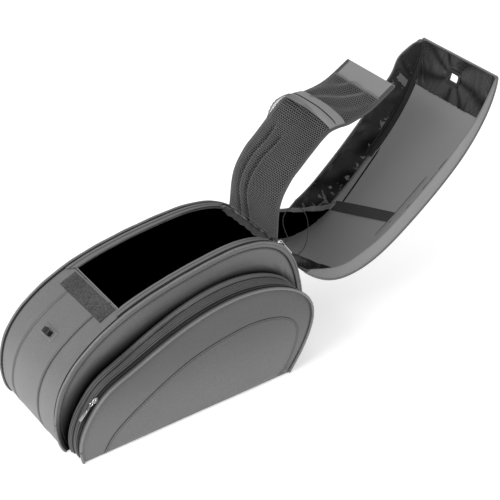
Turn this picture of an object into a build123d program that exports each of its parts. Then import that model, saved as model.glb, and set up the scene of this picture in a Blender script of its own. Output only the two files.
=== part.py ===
from build123d import *
import math
import os

# Motorcycle tail bag: a tapered, teardrop-profile case with a zip-on lid, an inner flap and two side pockets.
# Row frame: +X towards the tall hinge end, +Z up, origin at the middle of the flat bottom. Millimetres.

# ---- driving dimensions ---------------------------------------------------------------------------
# control points (x, z) of the two side profiles, from the low end's bottom edge over the top to the tall end's
PROFILE = [
    (-240, 0), (-258, 24), (-263, 136), (-141, 220), (-43, 246), (56, 262), (200, 272), (274, 184), (271, 0),
]
POCKET = [
    (-230, 0), (-244, 41), (-193, 125), (-139, 141), (-43, 189), (93, 223), (236, 181), (264, 96), (192, 0),
]
HALF_WIDTH = 90.5           # half the body's width at the origin
TAPER = 0.0394              # half width lost per millimetre towards the tall end
WALL = 3.0                  # stiffened leather panel
SEAM_GAP = 0.15             # air left between curved layers that are sewn face to face
OPEN_FRONT = 300.0          # distances along the profile, measured from the low end's bottom edge
OPEN_REAR = 628.0
TALL_EDGE = 724.0
OPEN_SHARE = 0.76           # share of the half width that the opening takes
CENTRE_SEAM = 44.0
PIPE_OUT, PIPE_IN = 2.5, 2.0
ZIP_FROM_EDGE = 7.5         # middle of the main zip, in from the side panel's face
COIL = 1.6

LID_START, LID_END = 145.0, 719.0
LID_HINGE_AT = 724.5
LID_OUTER = 9.7             # outer face of the lid above the body profile
LID_COVER, LID_BOARD = 2.0, 1.9
LID_SIDE_GAP = 3.0
LID_OPEN = 148.8            # degrees from closed to open
SKIRT_DEPTH = 58.0
SKIRT_FLARE = 20.0
SKIRT_WALL = 1.6
SKIRT_TOP_GAP = 0.5         # air between the cover's underside and the skirt's top edge
BOARD_START = 228.0
STRAP_FAR_X, STRAP_NEAR_X, STRAP_HALF = 110.0, 50.0, 11.5     # the diagonal strap at the lid's two sides
EYELET_AT, EYELET_HOLE, EYELET_FRAME = 186.0, (15.0, 24.0), (30.0, 38.0)

FLAP_START, FLAP_LENGTH, FLAP_PARTS = 629.0, 372.0, 4
FLAP_OFFSET, FLAP_THICK, FLAP_HALF = 3.4, 1.6, 66.0
FLAP_FOLDS = (86.0, 51.0, 35.0, 8.0)     # degrees that each length turns back from the one before it
FLAP_END_GAP = 1.2
MESH_HALF, MESH_THICK = 58.0, 4.0

PATCH = (261.0, 296.0, 66.0, 1.2)        # start, end, half length, thickness
STAPLE_AT, STAPLE_WIDE, STAPLE_TALL, STAPLE_WIRE = 190.5, 18.0, 15.0, 3.0
PLATE = (24.0, 40.0, 1.2)

POCKET_FACE = 146.0         # outer face of the pocket, from the middle plane
POCKET_SPLIT = 134.5        # plane of the pocket's zip
POCKET_WALL = 2.0
POCKET_FLOOR = 2.5

MAIN_SLIDER_AT = 640.0
POCKET_SLIDER_AT = 122.0
SLIDER = (12.0, 9.0, 3.8)
SLIDER_LIFT = 3.0
PULL = (36.0, 6.0, 1.6)
PULL_HINGE_AT = (7.0, 2.4)  # along and above the slider's seat
PULL_TILTS = {"main": 13.0, "pocket": 0.0}     # degrees that a pull lies below its slider's own line

CORD_RADIUS = 0.75
CORD_ROUTE = [
    (231.7, -73.7, 227.4), (238.8, -73.9, 232.2), (238.5, -74.4, 242.0), (233.0, -75.0, 254.5),
    (228.0, -75.5, 268.0), (226.3, -76.0, 282.5), (230.5, -76.4, 294.0), (240.5, -76.7, 301.0),
    (253.0, -76.8, 300.5), (265.0, -76.8, 292.5), (274.5, -76.7, 279.5), (280.5, -76.5, 264.5),
    (283.0, -76.3, 248.5), (283.0, -76.0, 232.5), (281.5, -75.5, 217.5), (277.0, -74.9, 204.5),
    (269.5, -74.3, 196.0), (261.0, -73.9, 192.0), (253.7, -73.8, 194.0), (249.0, -73.7, 200.9),
]

LOW, HIGH, FAR = -60.0, 420.0, 400.0     # reach of the cutting prisms


# ---- the teardrop profile -------------------------------------------------------------------------
def spline_point(controls, u):
    """Point of a clamped cubic B-spline at u from 0 to 1, by de Boor's rule."""
    degree, count = 3, len(controls)
    spans = count - degree
    knots = [0.0] * (degree + 1) + [i / spans for i in range(1, spans)] + [1.0] * (degree + 1)
    k = min(int(u * spans), spans - 1) + degree
    ring = [controls[i] for i in range(k - degree, k + 1)]
    for level in range(1, degree + 1):
        for j in range(degree, level - 1, -1):
            i = k - degree + j
            share = (u - knots[i]) / (knots[i + degree - level + 1] - knots[i])
            ring[j] = tuple((1 - share) * a + share * b for a, b in zip(ring[j - 1], ring[j]))
    return ring[degree]


class Outline:
    """A curve in the XZ plane, walked by its arc length, with offsets to its left (outward) side."""

    STEPS = 600

    def __init__(self, controls):
        self.points = [spline_point(controls, i / self.STEPS) for i in range(self.STEPS + 1)]
        self.lengths = [0.0]
        for a, b in zip(self.points, self.points[1:]):
            self.lengths.append(self.lengths[-1] + math.dist(a, b))
        self.total = self.lengths[-1]

    def locate(self, s):
        i = 0
        while i < self.STEPS - 1 and self.lengths[i + 1] < s:
            i += 1
        share = (s - self.lengths[i]) / (self.lengths[i + 1] - self.lengths[i])
        return i, share

    def tangent(self, s):
        i, share = self.locate(s)
        near, far = max(i - 2, 0), min(i + 3, self.STEPS)
        dx = self.points[far][0] - self.points[near][0]
        dz = self.points[far][1] - self.points[near][1]
        size = math.hypot(dx, dz)
        return dx / size, dz / size

    def at(self, s, off=0.0):
        i, share = self.locate(s)
        a, b = self.points[i], self.points[i + 1]
        tx, tz = self.tangent(s)
        return (a[0] + share * (b[0] - a[0]) - tz * off, a[1] + share * (b[1] - a[1]) + tx * off)

    def stretch(self, s0, s1, off, step=26.0):
        count = max(3, math.ceil(abs(s1 - s0) / step))
        return [self.at(s0 + (s1 - s0) * i / count, off) for i in range(count + 1)]


body_line = Outline(PROFILE)
pocket_line = Outline(POCKET)
TOTAL = body_line.total


# ---- solids from the profile ----------------------------------------------------------------------
def flat(points):
    return [Vector(x, 0, z) for x, z in points]


def above(floor):
    """Everything higher than the floor height."""
    return Pos(0, 0, floor + FAR) * Box(4 * FAR, 4 * FAR, 2 * FAR)


def prism(edges):
    """Solid across the whole width from edges that close an outline in the XZ plane."""
    return extrude(Face(Wire(edges)), amount=FAR, dir=(0, 1, 0), both=True)


def band(line, s0, s1, inner, outer):
    """Strip that follows the outline from s0 to s1, between two offsets from it."""
    low, high = flat(line.stretch(s0, s1, inner)), flat(line.stretch(s0, s1, outer))
    return prism([Spline(*low), Line(low[-1], high[-1]), Spline(*high[::-1]), Line(high[0], low[0])])


def filled(line, off, floor):
    """Everything inside the outline moved by off, above the floor height."""
    top = flat(line.stretch(0, line.total, off))
    first, last = top[0], top[-1]
    corners = [last, Vector(last.X, 0, LOW), Vector(first.X, 0, LOW), first]
    whole = prism([Spline(*top)] + [Line(a, b) for a, b in zip(corners, corners[1:])])
    return whole & above(floor)


def edge_y(x, share, inset):
    return share * (HALF_WIDTH - TAPER * x) - inset


def upright(corners):
    """Vertical prism over an outline of (x, y) corners."""
    outline = Polyline(*[(x, y, LOW) for x, y in corners], close=True)
    return extrude(Face(outline), amount=HIGH - LOW, dir=(0, 0, 1))


def slice_y(near, far, side=1):
    """Vertical prism between two lines across the width, each given as (share of the half width, inset)."""
    there = [(x, side * edge_y(x, *near)) for x in (-FAR, FAR)]
    back = [(x, side * edge_y(x, *far)) for x in (FAR, -FAR)]
    return upright(there + back)


def within(inset, share=1.0):
    """Prism that holds everything up to inset inside the side panels."""
    there = [(x, -edge_y(x, share, inset)) for x in (-FAR, FAR)]
    back = [(x, edge_y(x, share, inset)) for x in (FAR, -FAR)]
    return upright(there + back)


def slab_y(low, high, side=1):
    """Slab between two planes of constant y."""
    middle = side * (low + high) / 2
    return Pos(0, middle, 0) * Box(4 * FAR, high - low, 4 * FAR)


def on_line(line, s, off, y=0.0):
    """Frame on the outline: X along it, Z outward."""
    x, z = line.at(s, off)
    tx, tz = line.tangent(s)
    return Location(Plane(origin=(x, y, z), x_dir=(tx, 0, tz), z_dir=(-tz, 0, tx)))


SIDES = {"near": -1, "far": 1}
nodes = {}

# ---- bag body -------------------------------------------------------------------------------------
above_floor = above(0)
core = within(WALL)


def body_panels():
    inside_skin = filled(body_line, -WALL, 0)
    floor_slab = Pos(0, 0, WALL / 2) * Box(4 * FAR, 4 * FAR, WALL)
    nodes["bottom_panel"] = inside_skin & floor_slab & core
    board = filled(body_line, -WALL - 0.6, WALL + 0.2) & within(WALL + 1.0)
    nodes["base_board"] = board & Pos(0, 0, WALL + 1.7) * Box(4 * FAR, 4 * FAR, 3.0)
    centre = slab_y(-CENTRE_SEAM, CENTRE_SEAM)
    nodes["front_panel"] = band(body_line, 0, OPEN_FRONT, -WALL, 0) & centre & above_floor
    for name, side in SIDES.items():
        outer = slice_y((0, -CENTRE_SEAM), (1, WALL), side)
        beside_opening = slice_y((OPEN_SHARE, 0), (1, WALL), side)
        front = band(body_line, 0, OPEN_FRONT, -WALL, 0) & outer & above_floor
        upper = band(body_line, OPEN_FRONT, OPEN_REAR, -WALL, 0) & beside_opening
        nodes[f"gusset_strip_{name}"] = front + upper
        nodes[f"side_panel_{name}"] = filled(body_line, -PIPE_IN, 0) & slice_y((1, WALL), (1, 0), side)
        pipe = band(body_line, 0, TOTAL, -PIPE_IN, PIPE_OUT) & slice_y((1, WALL), (1, -PIPE_IN), side)
        nodes[f"edge_piping_{name}"] = pipe & above_floor
    nodes["rear_top_panel"] = band(body_line, OPEN_REAR, TALL_EDGE, -WALL, 0) & core
    nodes["tall_end_panel"] = band(body_line, TALL_EDGE, TOTAL, -WALL, 0) & core & above_floor
    strip = band(body_line, TALL_EDGE + 4, TALL_EDGE + 18, 0, LID_OUTER - 1) & within(10)
    nodes["hinge_tape"] = strip


def body_liner():
    gap, skin = WALL + 0.6, 1.4
    mouth = band(body_line, OPEN_FRONT - 0.01, OPEN_REAR, -12, 8) & within(0, OPEN_SHARE)
    shell = filled(body_line, -gap, 2 * WALL + 0.8) & within(gap)
    hollow = filled(body_line, -gap - skin, 2 * WALL + 0.8 + skin) & within(gap + skin)
    nodes["liner"] = shell - hollow - mouth


def body_trim():
    tapes, welts = [], []
    for side in SIDES.values():
        tape = band(body_line, 6, 700, SEAM_GAP, 1)
        tape = tape & slice_y((1, ZIP_FROM_EDGE + 4.5), (1, WALL + 0.2), side)
        coil = band(body_line, 6, 700, 1, 1 + COIL)
        coil = coil & slice_y((1, ZIP_FROM_EDGE + 1.5), (1, ZIP_FROM_EDGE - 1.5), side)
        tapes.append((tape + coil) & above_floor)
        welt = band(body_line, OPEN_FRONT - 11, 612, SEAM_GAP, 2)
        welts.append(welt & slice_y((OPEN_SHARE, -0.8), (1, ZIP_FROM_EDGE + 5.5), side))
    nodes["main_zip"] = Compound(children=tapes)
    nodes["opening_welts"] = Compound(children=welts)
    start, end, half, thick = PATCH
    nodes["loop_tape_patch"] = band(body_line, start, end, SEAM_GAP, thick) & slab_y(-half, half)


def rounded_block(long, wide, tall, corner):
    """Block standing on its own plane, with round corners seen from above."""
    return extrude(RectangleRounded(long, wide, corner), amount=tall)


def lock_staple():
    long, wide, thick = PLATE
    nodes["staple_plate"] = on_line(body_line, STAPLE_AT, 0.6) * rounded_block(long, wide, thick, 3)
    reach, foot = STAPLE_TALL - STAPLE_WIRE / 2, STAPLE_WIDE / 2 - STAPLE_WIRE / 2
    base = 0.6 + thick
    top = reach - base
    path = FilletPolyline((0, -foot, 0), (0, -foot, top), (0, foot, top), (0, foot, 0), radius=2.5)
    wire = sweep(Plane.XY * Pos(0, -foot, 0) * Circle(STAPLE_WIRE / 2), path=path)
    nodes["lock_staple"] = on_line(body_line, STAPLE_AT, base) * wire


# ---- side pockets ---------------------------------------------------------------------------------
def pockets():
    outer = filled(pocket_line, 0, 0)
    inner = filled(pocket_line, -POCKET_WALL, POCKET_FLOOR)
    shell = outer - inner
    total = pocket_line.total
    zip_low, zip_high = 16, total - 40
    for name, side in SIDES.items():
        nodes[f"pocket_gusset_{name}"] = shell & slice_y((1, 0), (0, 0.3 - POCKET_SPLIT), side)
        rim = shell & slab_y(POCKET_SPLIT + 0.3, POCKET_FACE - POCKET_WALL, side)
        nodes[f"pocket_rim_{name}"] = rim & above(POCKET_FLOOR)
        cover = slab_y(POCKET_FACE - POCKET_WALL, POCKET_FACE, side)
        nodes[f"pocket_face_{name}"] = filled(pocket_line, -PIPE_IN, POCKET_FLOOR) & cover
        pipe = band(pocket_line, 0, total, -PIPE_IN, PIPE_OUT)
        pipe = pipe & slab_y(POCKET_FACE - POCKET_WALL, POCKET_FACE + 1.5, side)
        nodes[f"pocket_piping_{name}"] = pipe & above(POCKET_FLOOR)
        coil = band(pocket_line, zip_low, zip_high, 0.2, 1.8)
        nodes[f"pocket_zip_{name}"] = coil & slab_y(POCKET_SPLIT - 6, POCKET_SPLIT - 0.4, side)
        nodes[f"pocket_zip_edge_{name}"] = coil & slab_y(POCKET_SPLIT + 0.4, POCKET_SPLIT + 6, side)


# ---- zip sliders ----------------------------------------------------------------------------------
def slider_and_pull(kind, line, s, y, turn):
    """Slider over the coil and its pull; turn is +1 where the pull lies further along the outline."""
    long, wide, tall = SLIDER
    seat = on_line(line, s, SLIDER_LIFT, y)
    slide = rounded_block(long, wide, tall, 2.5)
    nodes[f"{kind}_slider"] = seat * slide
    length, width, thick = PULL
    along, lift = PULL_HINGE_AT
    hinge = Pos(turn * along, 0, lift) * Rot(0, turn * PULL_TILTS[kind.split("_")[0]], 0)
    bar = Pos(turn * length / 2, 0, -thick / 2) * rounded_block(length, width, thick, width / 2 - 0.1)
    nodes[f"{kind}_pull"] = seat * hinge * bar


def sliders():
    for name, side in SIDES.items():
        beside_zip = edge_y(body_line.at(MAIN_SLIDER_AT)[0], 1, ZIP_FROM_EDGE + 0.6)
        slider_and_pull(f"main_{name}", body_line, MAIN_SLIDER_AT, side * beside_zip, 1)
        slider_and_pull(f"pocket_{name}", pocket_line, POCKET_SLIDER_AT, side * POCKET_SPLIT, -1)


# ---- lid, built closed and then opened ------------------------------------------------------------
hinge_x, hinge_z = body_line.at(LID_HINGE_AT, LID_OUTER)
LID_OPENED = Pos(hinge_x, 0, hinge_z) * Rot(0, LID_OPEN, 0) * Pos(-hinge_x, 0, -hinge_z)


def skirt_depth(s):
    """How deep the side skirt hangs at a place along the lid: nothing at both ends, full in the middle."""
    reach = (s - LID_START) / (LID_END - LID_START)
    return SKIRT_DEPTH * min(1.0, 1.25 * math.sin(math.pi * reach) ** 0.62) * (1 - 0.25 * reach ** 6) + 1.5


def skirt_edge(side, depth_share, extra, steps=14):
    """Curve along the skirt, from its top edge (share 0) down to its rim (share 1)."""
    points = []
    for i in range(steps + 1):
        s = LID_START + 2 + (LID_END - LID_START - 6) * i / steps
        depth = skirt_depth(s) * depth_share
        x0, z0 = body_line.at(s)
        out = depth * math.sin(math.radians(SKIRT_FLARE))
        down = depth * math.cos(math.radians(SKIRT_FLARE))
        x, z = body_line.at(s, LID_OUTER - LID_COVER - SKIRT_TOP_GAP - down)
        points.append((x, side * (edge_y(x0, 1, 0) + LID_SIDE_GAP + extra + out), z))
    return points


def skirt(side):
    """Thin flared wall between a top edge and a rim that follow the lid."""
    corners = [skirt_edge(side, 0, 0), skirt_edge(side, 1, 0), skirt_edge(side, 1, SKIRT_WALL),
               skirt_edge(side, 0, SKIRT_WALL)]
    curves = [Spline(*points) for points in corners]
    faces = [Face.make_surface_from_curves(a, b) for a, b in zip(curves, curves[1:] + curves[:1])]
    for end in (0, -1):
        ring = [points[end] for points in corners]
        faces.append(Face(Polyline(*ring, close=True)))
    return Solid(Shell(faces))


def lid():
    closed = {}
    reach = within(-LID_SIDE_GAP - SKIRT_WALL)
    hole_long, hole_wide = EYELET_HOLE
    cutter = on_line(body_line, EYELET_AT, -10) * rounded_block(hole_long, hole_wide, 40, 4)
    under = LID_OUTER - LID_COVER
    board_low = under - SEAM_GAP - LID_BOARD
    closed["lid_cover"] = (band(body_line, LID_START, LID_END, under, LID_OUTER) & reach) - cutter
    inside_zip = within(ZIP_FROM_EDGE + 5.5)
    closed["lid_board"] = band(body_line, BOARD_START, 712, board_low, under - SEAM_GAP) & inside_zip
    end_liner = band(body_line, LID_START + 2, BOARD_START - 2, board_low, under - SEAM_GAP) & inside_zip
    closed["lid_end_liner"] = end_liner - cutter
    frame_long, frame_wide = EYELET_FRAME
    ring = rounded_block(frame_long, frame_wide, 1.2, 6) - rounded_block(hole_long, hole_wide, 1.2, 4)
    closed["eyelet_frame"] = on_line(body_line, EYELET_AT, board_low - 2.2) * ring
    tapes = []
    for name, side in SIDES.items():
        tape = band(body_line, LID_START + 4, 600, board_low - 1.2, under - SEAM_GAP)
        tapes.append(tape & slice_y((1, ZIP_FROM_EDGE + 3.5), (1, 2.0), side))
        closed[f"lid_skirt_{name}"] = skirt(side)
    closed["lid_zip"] = Compound(children=tapes)
    strap = band(body_line, 420, 560, board_low - 1.1, board_low - SEAM_GAP)
    closed["lid_strap"] = strap & lid_strap_plan()
    for name, shape in closed.items():
        nodes[name] = LID_OPENED * shape


def lid_strap_plan():
    """Diagonal ribbon seen from above: it crosses from the far side near the hinge towards the near side."""
    reach = 74.0
    corners = [(STRAP_FAR_X - STRAP_HALF, reach), (STRAP_FAR_X + STRAP_HALF, reach),
               (STRAP_NEAR_X + STRAP_HALF, -reach), (STRAP_NEAR_X - STRAP_HALF, -reach)]
    return upright(corners)


def hinge_gussets():
    """Thin nylon triangles that join the tall end's top corners to the open lid."""
    corners = [(240, 217), (266, 191), (273, 172), (284, 154), (318, 137), (356, 128)]
    plate = prism(Polyline(*flat(corners), close=True).edges())
    for name, side in SIDES.items():
        nodes[f"hinge_gusset_{name}"] = plate & slab_y(80.4, 81.4, side)


# ---- inner flap: four lengths, built closed over the opening and then folded back -----------------
def flap_pivot(i):
    return body_line.at(FLAP_START - i * FLAP_LENGTH / FLAP_PARTS, FLAP_OFFSET)


def flap_folded(i):
    """Transform that takes length i from closed to folded back."""
    move = Location()
    for k in range(i + 1):
        x, z = flap_pivot(k)
        move = move * Pos(x, 0, z) * Rot(0, FLAP_FOLDS[k], 0) * Pos(-x, 0, -z)
    return move


def flap():
    names = ["root", "lower", "upper", "end"]
    pitch = FLAP_LENGTH / FLAP_PARTS
    low, high = FLAP_OFFSET - FLAP_THICK / 2, FLAP_OFFSET + FLAP_THICK / 2
    mesh_low, mesh_high = low - SEAM_GAP - MESH_THICK, low - SEAM_GAP
    mesh_spans = [(8, 4), (4, 4), (4, 42), (6, 48)]
    for i, name in enumerate(names):
        top = FLAP_START - i * pitch
        bottom = top - pitch
        last = i == FLAP_PARTS - 1
        move = flap_folded(i)
        panel = band(body_line, bottom + (0 if last else FLAP_END_GAP), top - FLAP_END_GAP, low, high)
        nodes[f"flap_panel_{name}"] = move * (panel & slab_y(-FLAP_HALF, FLAP_HALF))
        before, after = mesh_spans[i]
        mesh = band(body_line, bottom + after, top - before, mesh_low, mesh_high)
        nodes[f"flap_mesh_{name}"] = move * (mesh & slab_y(-MESH_HALF, MESH_HALF))
    upper_end = FLAP_START - 3 * pitch
    cross = band(body_line, upper_end + 8, upper_end + 38, low - 3.1, low - SEAM_GAP) & slab_y(-62, 62)
    nodes["flap_cross_zip"] = flap_folded(2) * cross
    end = FLAP_START - FLAP_LENGTH
    hook = band(body_line, end + 1, end + 37, low - 1.0, low - SEAM_GAP)
    nodes["flap_hook_tape"] = flap_folded(3) * (hook & slab_y(1 - FLAP_HALF, FLAP_HALF - 1))
    seat = on_line(body_line, upper_end + 23, low - 3.4 - 3.0, -50)
    nodes["flap_zip_slider"] = flap_folded(2) * seat * rounded_block(8, 11, 3.0, 2.5)


# ---- cord loop on the near main pull --------------------------------------------------------------
def corner_radii(route):
    """Arc at each corner: 0.45 of the shorter run over the tangent of half the turn."""
    radii = []
    for a, b, c in zip(route, route[1:], route[2:]):
        before, after = Vector(*b) - Vector(*a), Vector(*c) - Vector(*b)
        turn = math.radians(before.get_angle(after))
        radii.append(0.45 * min(before.length, after.length) / math.tan(turn / 2))
    return radii


def cord_loop():
    radii = corner_radii(CORD_ROUTE)
    path = FilletPolyline(*CORD_ROUTE, radius=radii)
    start = Plane(origin=path @ 0, z_dir=path % 0)
    nodes["pull_cord"] = sweep(start * Circle(CORD_RADIUS), path=path)
    length = sum(edge.length for edge in path.edges())
    ideal = math.pi * CORD_RADIUS ** 2 * length
    print("cord radii", [round(r, 1) for r in radii])
    print("cord length", round(length, 1), "volume ratio", round(nodes["pull_cord"].volume / ideal, 4))


body_panels()
body_liner()
body_trim()
lock_staple()
pockets()
sliders()
lid()
hinge_gussets()
flap()
cord_loop()

os.makedirs("parts", exist_ok=True)
for name, shape in nodes.items():
    export_step(shape, f"parts/{name}.step")
print(len(nodes), "nodes")
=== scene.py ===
"""Looks of a motorcycle tail bag, built around its frame: panels, zips, netting, linings and fittings."""

import logging
import math
from dataclasses import dataclass
from enum import Enum
from typing import Callable, ClassVar, Optional, Sequence, Union

import bmesh
import bpy
import numpy as np
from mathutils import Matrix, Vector, noise


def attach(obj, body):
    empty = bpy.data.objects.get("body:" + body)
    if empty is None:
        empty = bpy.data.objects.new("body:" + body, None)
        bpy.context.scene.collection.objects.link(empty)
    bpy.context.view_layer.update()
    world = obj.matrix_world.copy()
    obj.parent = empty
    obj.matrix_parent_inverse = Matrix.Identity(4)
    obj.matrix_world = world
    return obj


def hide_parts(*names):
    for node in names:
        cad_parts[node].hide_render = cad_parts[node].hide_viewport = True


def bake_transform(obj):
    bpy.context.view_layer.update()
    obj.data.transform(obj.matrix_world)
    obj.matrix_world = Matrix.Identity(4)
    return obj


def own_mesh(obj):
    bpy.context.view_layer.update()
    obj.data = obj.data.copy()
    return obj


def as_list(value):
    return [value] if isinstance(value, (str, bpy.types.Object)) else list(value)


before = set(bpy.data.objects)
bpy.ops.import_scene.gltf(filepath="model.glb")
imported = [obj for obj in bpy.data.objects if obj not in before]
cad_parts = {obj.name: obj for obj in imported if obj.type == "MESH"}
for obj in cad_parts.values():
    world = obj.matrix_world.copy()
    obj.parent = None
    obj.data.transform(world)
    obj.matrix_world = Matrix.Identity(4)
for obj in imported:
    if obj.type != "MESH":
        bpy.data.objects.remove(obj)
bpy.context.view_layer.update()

LOG = logging.getLogger("tail_bag")
MM = 0.001

Array = np.ndarray
Number = Union[float, Array]

# ---- shared sizes, in millimetres ----
BODY_PROFILE = [
    (-240, 0), (-258, 24), (-263, 136), (-141, 220), (-43, 246), (56, 262), (200, 272), (274, 184), (271, 0),
]
POCKET_PROFILE = [
    (-230, 0), (-244, 41), (-193, 125), (-139, 141), (-43, 189), (93, 223), (236, 181), (264, 96), (192, 0),
]
HALF_WIDTH = 90.5
TAPER = 0.0394
LID_OPEN = math.radians(148.8)
MAIN_SLIDER_AT = 640.0
POCKET_SLIDER_AT = 122.0


class Side(Enum):
    """The two sides of the bag, as the sign of y."""

    NEAR = -1
    FAR = 1

    @property
    def word(self) -> str:
        """Name of the side as the frame's nodes spell it."""
        return self.name.lower()


# ---- curves ----
def clamped_spline(controls: Sequence[Sequence[float]], count: int) -> Array:
    """Points of a clamped cubic B-spline.

    Args:
        controls: control points of any dimension.
        count: how many points to give, evenly spaced in the spline's own parameter.

    Returns:
        An array of count points.
    """
    ctrl = np.array(controls, float)
    spans = len(ctrl) - 3
    knots = np.concatenate([[0] * 3, np.linspace(0, 1, spans + 1), [1] * 3])
    u = np.linspace(0, 1, count)
    k = np.minimum((u * spans).astype(int), spans - 1) + 3
    ring = np.stack([ctrl[k - 3 + i] for i in range(4)])
    for level in range(1, 4):
        for j in range(3, level - 1, -1):
            i = k - 3 + j
            share = ((u - knots[i]) / (knots[i + 4 - level] - knots[i]))[:, None]
            ring[j] = (1 - share) * ring[j - 1] + share * ring[j]
    return ring[3]


def through(points: Sequence[Sequence[float]], steps: int = 24) -> Array:
    """Smooth curve that passes through every point, by Catmull and Rom's rule.

    Args:
        points: the points to pass through.
        steps: points made on each stretch.

    Returns:
        The curve as an array of points.
    """
    p = np.array(points, float)
    p = np.vstack([2 * p[0] - p[1], p, 2 * p[-1] - p[-2]])
    t = np.linspace(0, 1, steps, endpoint=False)[:, None]
    out = []
    for a, b, c, d in zip(p, p[1:], p[2:], p[3:]):
        square, cube = 2 * a - 5 * b + 4 * c - d, 3 * b - a - 3 * c + d
        out.append(0.5 * (2 * b + (c - a) * t + square * t**2 + cube * t**3))
    return np.vstack(out + [p[-2:-1]])


class Outline:
    """A curve in the XZ plane, walked by arc length. Offsets go to its left, which is outward on the bag."""

    def __init__(self, points: Array) -> None:
        """Args:
            points: dense points along the curve, in millimetres.
        """
        self.points = points
        steps = np.hypot(*np.diff(points, axis=0).T)
        self.s = np.concatenate([[0], np.cumsum(steps)])
        self.total = float(self.s[-1])
        tangent = np.gradient(points, self.s, axis=0)
        self.tangents = tangent / np.linalg.norm(tangent, axis=1)[:, None]

    def tangent(self, s: Number) -> Array:
        """Unit tangent at arc length s."""
        t = np.stack([np.interp(s, self.s, self.tangents[:, i]) for i in (0, 1)], -1)
        return t / np.linalg.norm(t, axis=-1)[..., None]

    def at(self, s: Number, off: Number = 0.0) -> Array:
        """Point at arc length s, moved outward by off."""
        p = np.stack([np.interp(s, self.s, self.points[:, i]) for i in (0, 1)], -1)
        t = self.tangent(s)
        return p + np.stack([-t[..., 1], t[..., 0]], -1) * np.asarray(off)[..., None]

    def place(self, s: Number, y: Number, off: Number = 0.0) -> Array:
        """Point in space at arc length s and width y, moved outward by off."""
        s, y, off = np.broadcast_arrays(np.asarray(s, float), y, off)
        xz = self.at(s, off)
        return np.stack([xz[..., 0], y, xz[..., 1]], -1)

    def up(self, s: Number) -> Array:
        """Outward normal in space at arc length s."""
        t = self.tangent(np.asarray(s, float))
        return np.stack([-t[..., 1], np.zeros_like(t[..., 0]), t[..., 0]], -1)


BODY = Outline(clamped_spline(BODY_PROFILE, 1201))
POCKET = Outline(clamped_spline(POCKET_PROFILE, 1201))


def half_width(x: Number) -> Number:
    """Half the body's width at row position x."""
    return HALF_WIDTH - TAPER * x


def edge_at(s: Number) -> Number:
    """Half the body's width at arc length s along the body's profile."""
    return half_width(BODY.at(s)[..., 0])


def floor_line(s: Array) -> Array:
    """Points on the bottom edge that a side panel's rows close in on, from arc lengths along the body."""
    return np.stack([np.interp(s, [0, BODY.total], [-150, 190]), np.zeros_like(s)], -1)


def along_rows(s: Array, y: Array) -> Array:
    """Arc lengths s, one for each row of a grid of widths y."""
    return np.broadcast_to(s[:, None], y.shape)


# ---- small shape rules ----
def smooth(t: Number) -> Number:
    """Ease from 0 to 1 as t does, level at both ends."""
    t = np.clip(t, 0, 1)
    return t * t * (3 - 2 * t)


def ridge(d: Number, centre: float, half: float, height: float) -> Number:
    """Round ridge across a distance d: height at its centre, nothing past half on either side."""
    t = np.clip(np.abs(np.asarray(d) - centre) / half, 0, 1)
    return height * np.sqrt(np.maximum(1 - t * t, 0)) if height > 0 else height * np.cos(t * math.pi / 2) ** 2


def rolled(d: Number, roll: float, depth: float) -> Number:
    """Fall of a turned edge: depth at the edge itself, nothing past roll from it."""
    return -depth * (1 - np.clip(np.asarray(d) / roll, 0, 1)) ** 2


def waves(points: Array, size: float, seed: float = 0.0) -> Array:
    """Smooth noise from about -1 to 1 over points in millimetres, with bumps about size across."""
    flat = points.reshape(-1, 3) / size + seed
    found = np.array([noise.noise(Vector(p)) for p in flat])
    return found.reshape(points.shape[:-1])


def spread(count: int, start: float = 0.0, end: float = 1.0) -> Array:
    """Values from start to end, closer together near both ends."""
    return start + (end - start) * (0.5 - 0.5 * np.cos(np.linspace(0, math.pi, count)))


# ---- meshes ----
def add_object(name: str, data: bpy.types.ID) -> bpy.types.Object:
    """Put a new object with this data in the scene, at the origin."""
    piece = bpy.data.objects.new(name, data)
    bpy.context.scene.collection.objects.link(piece)
    return piece


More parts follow.
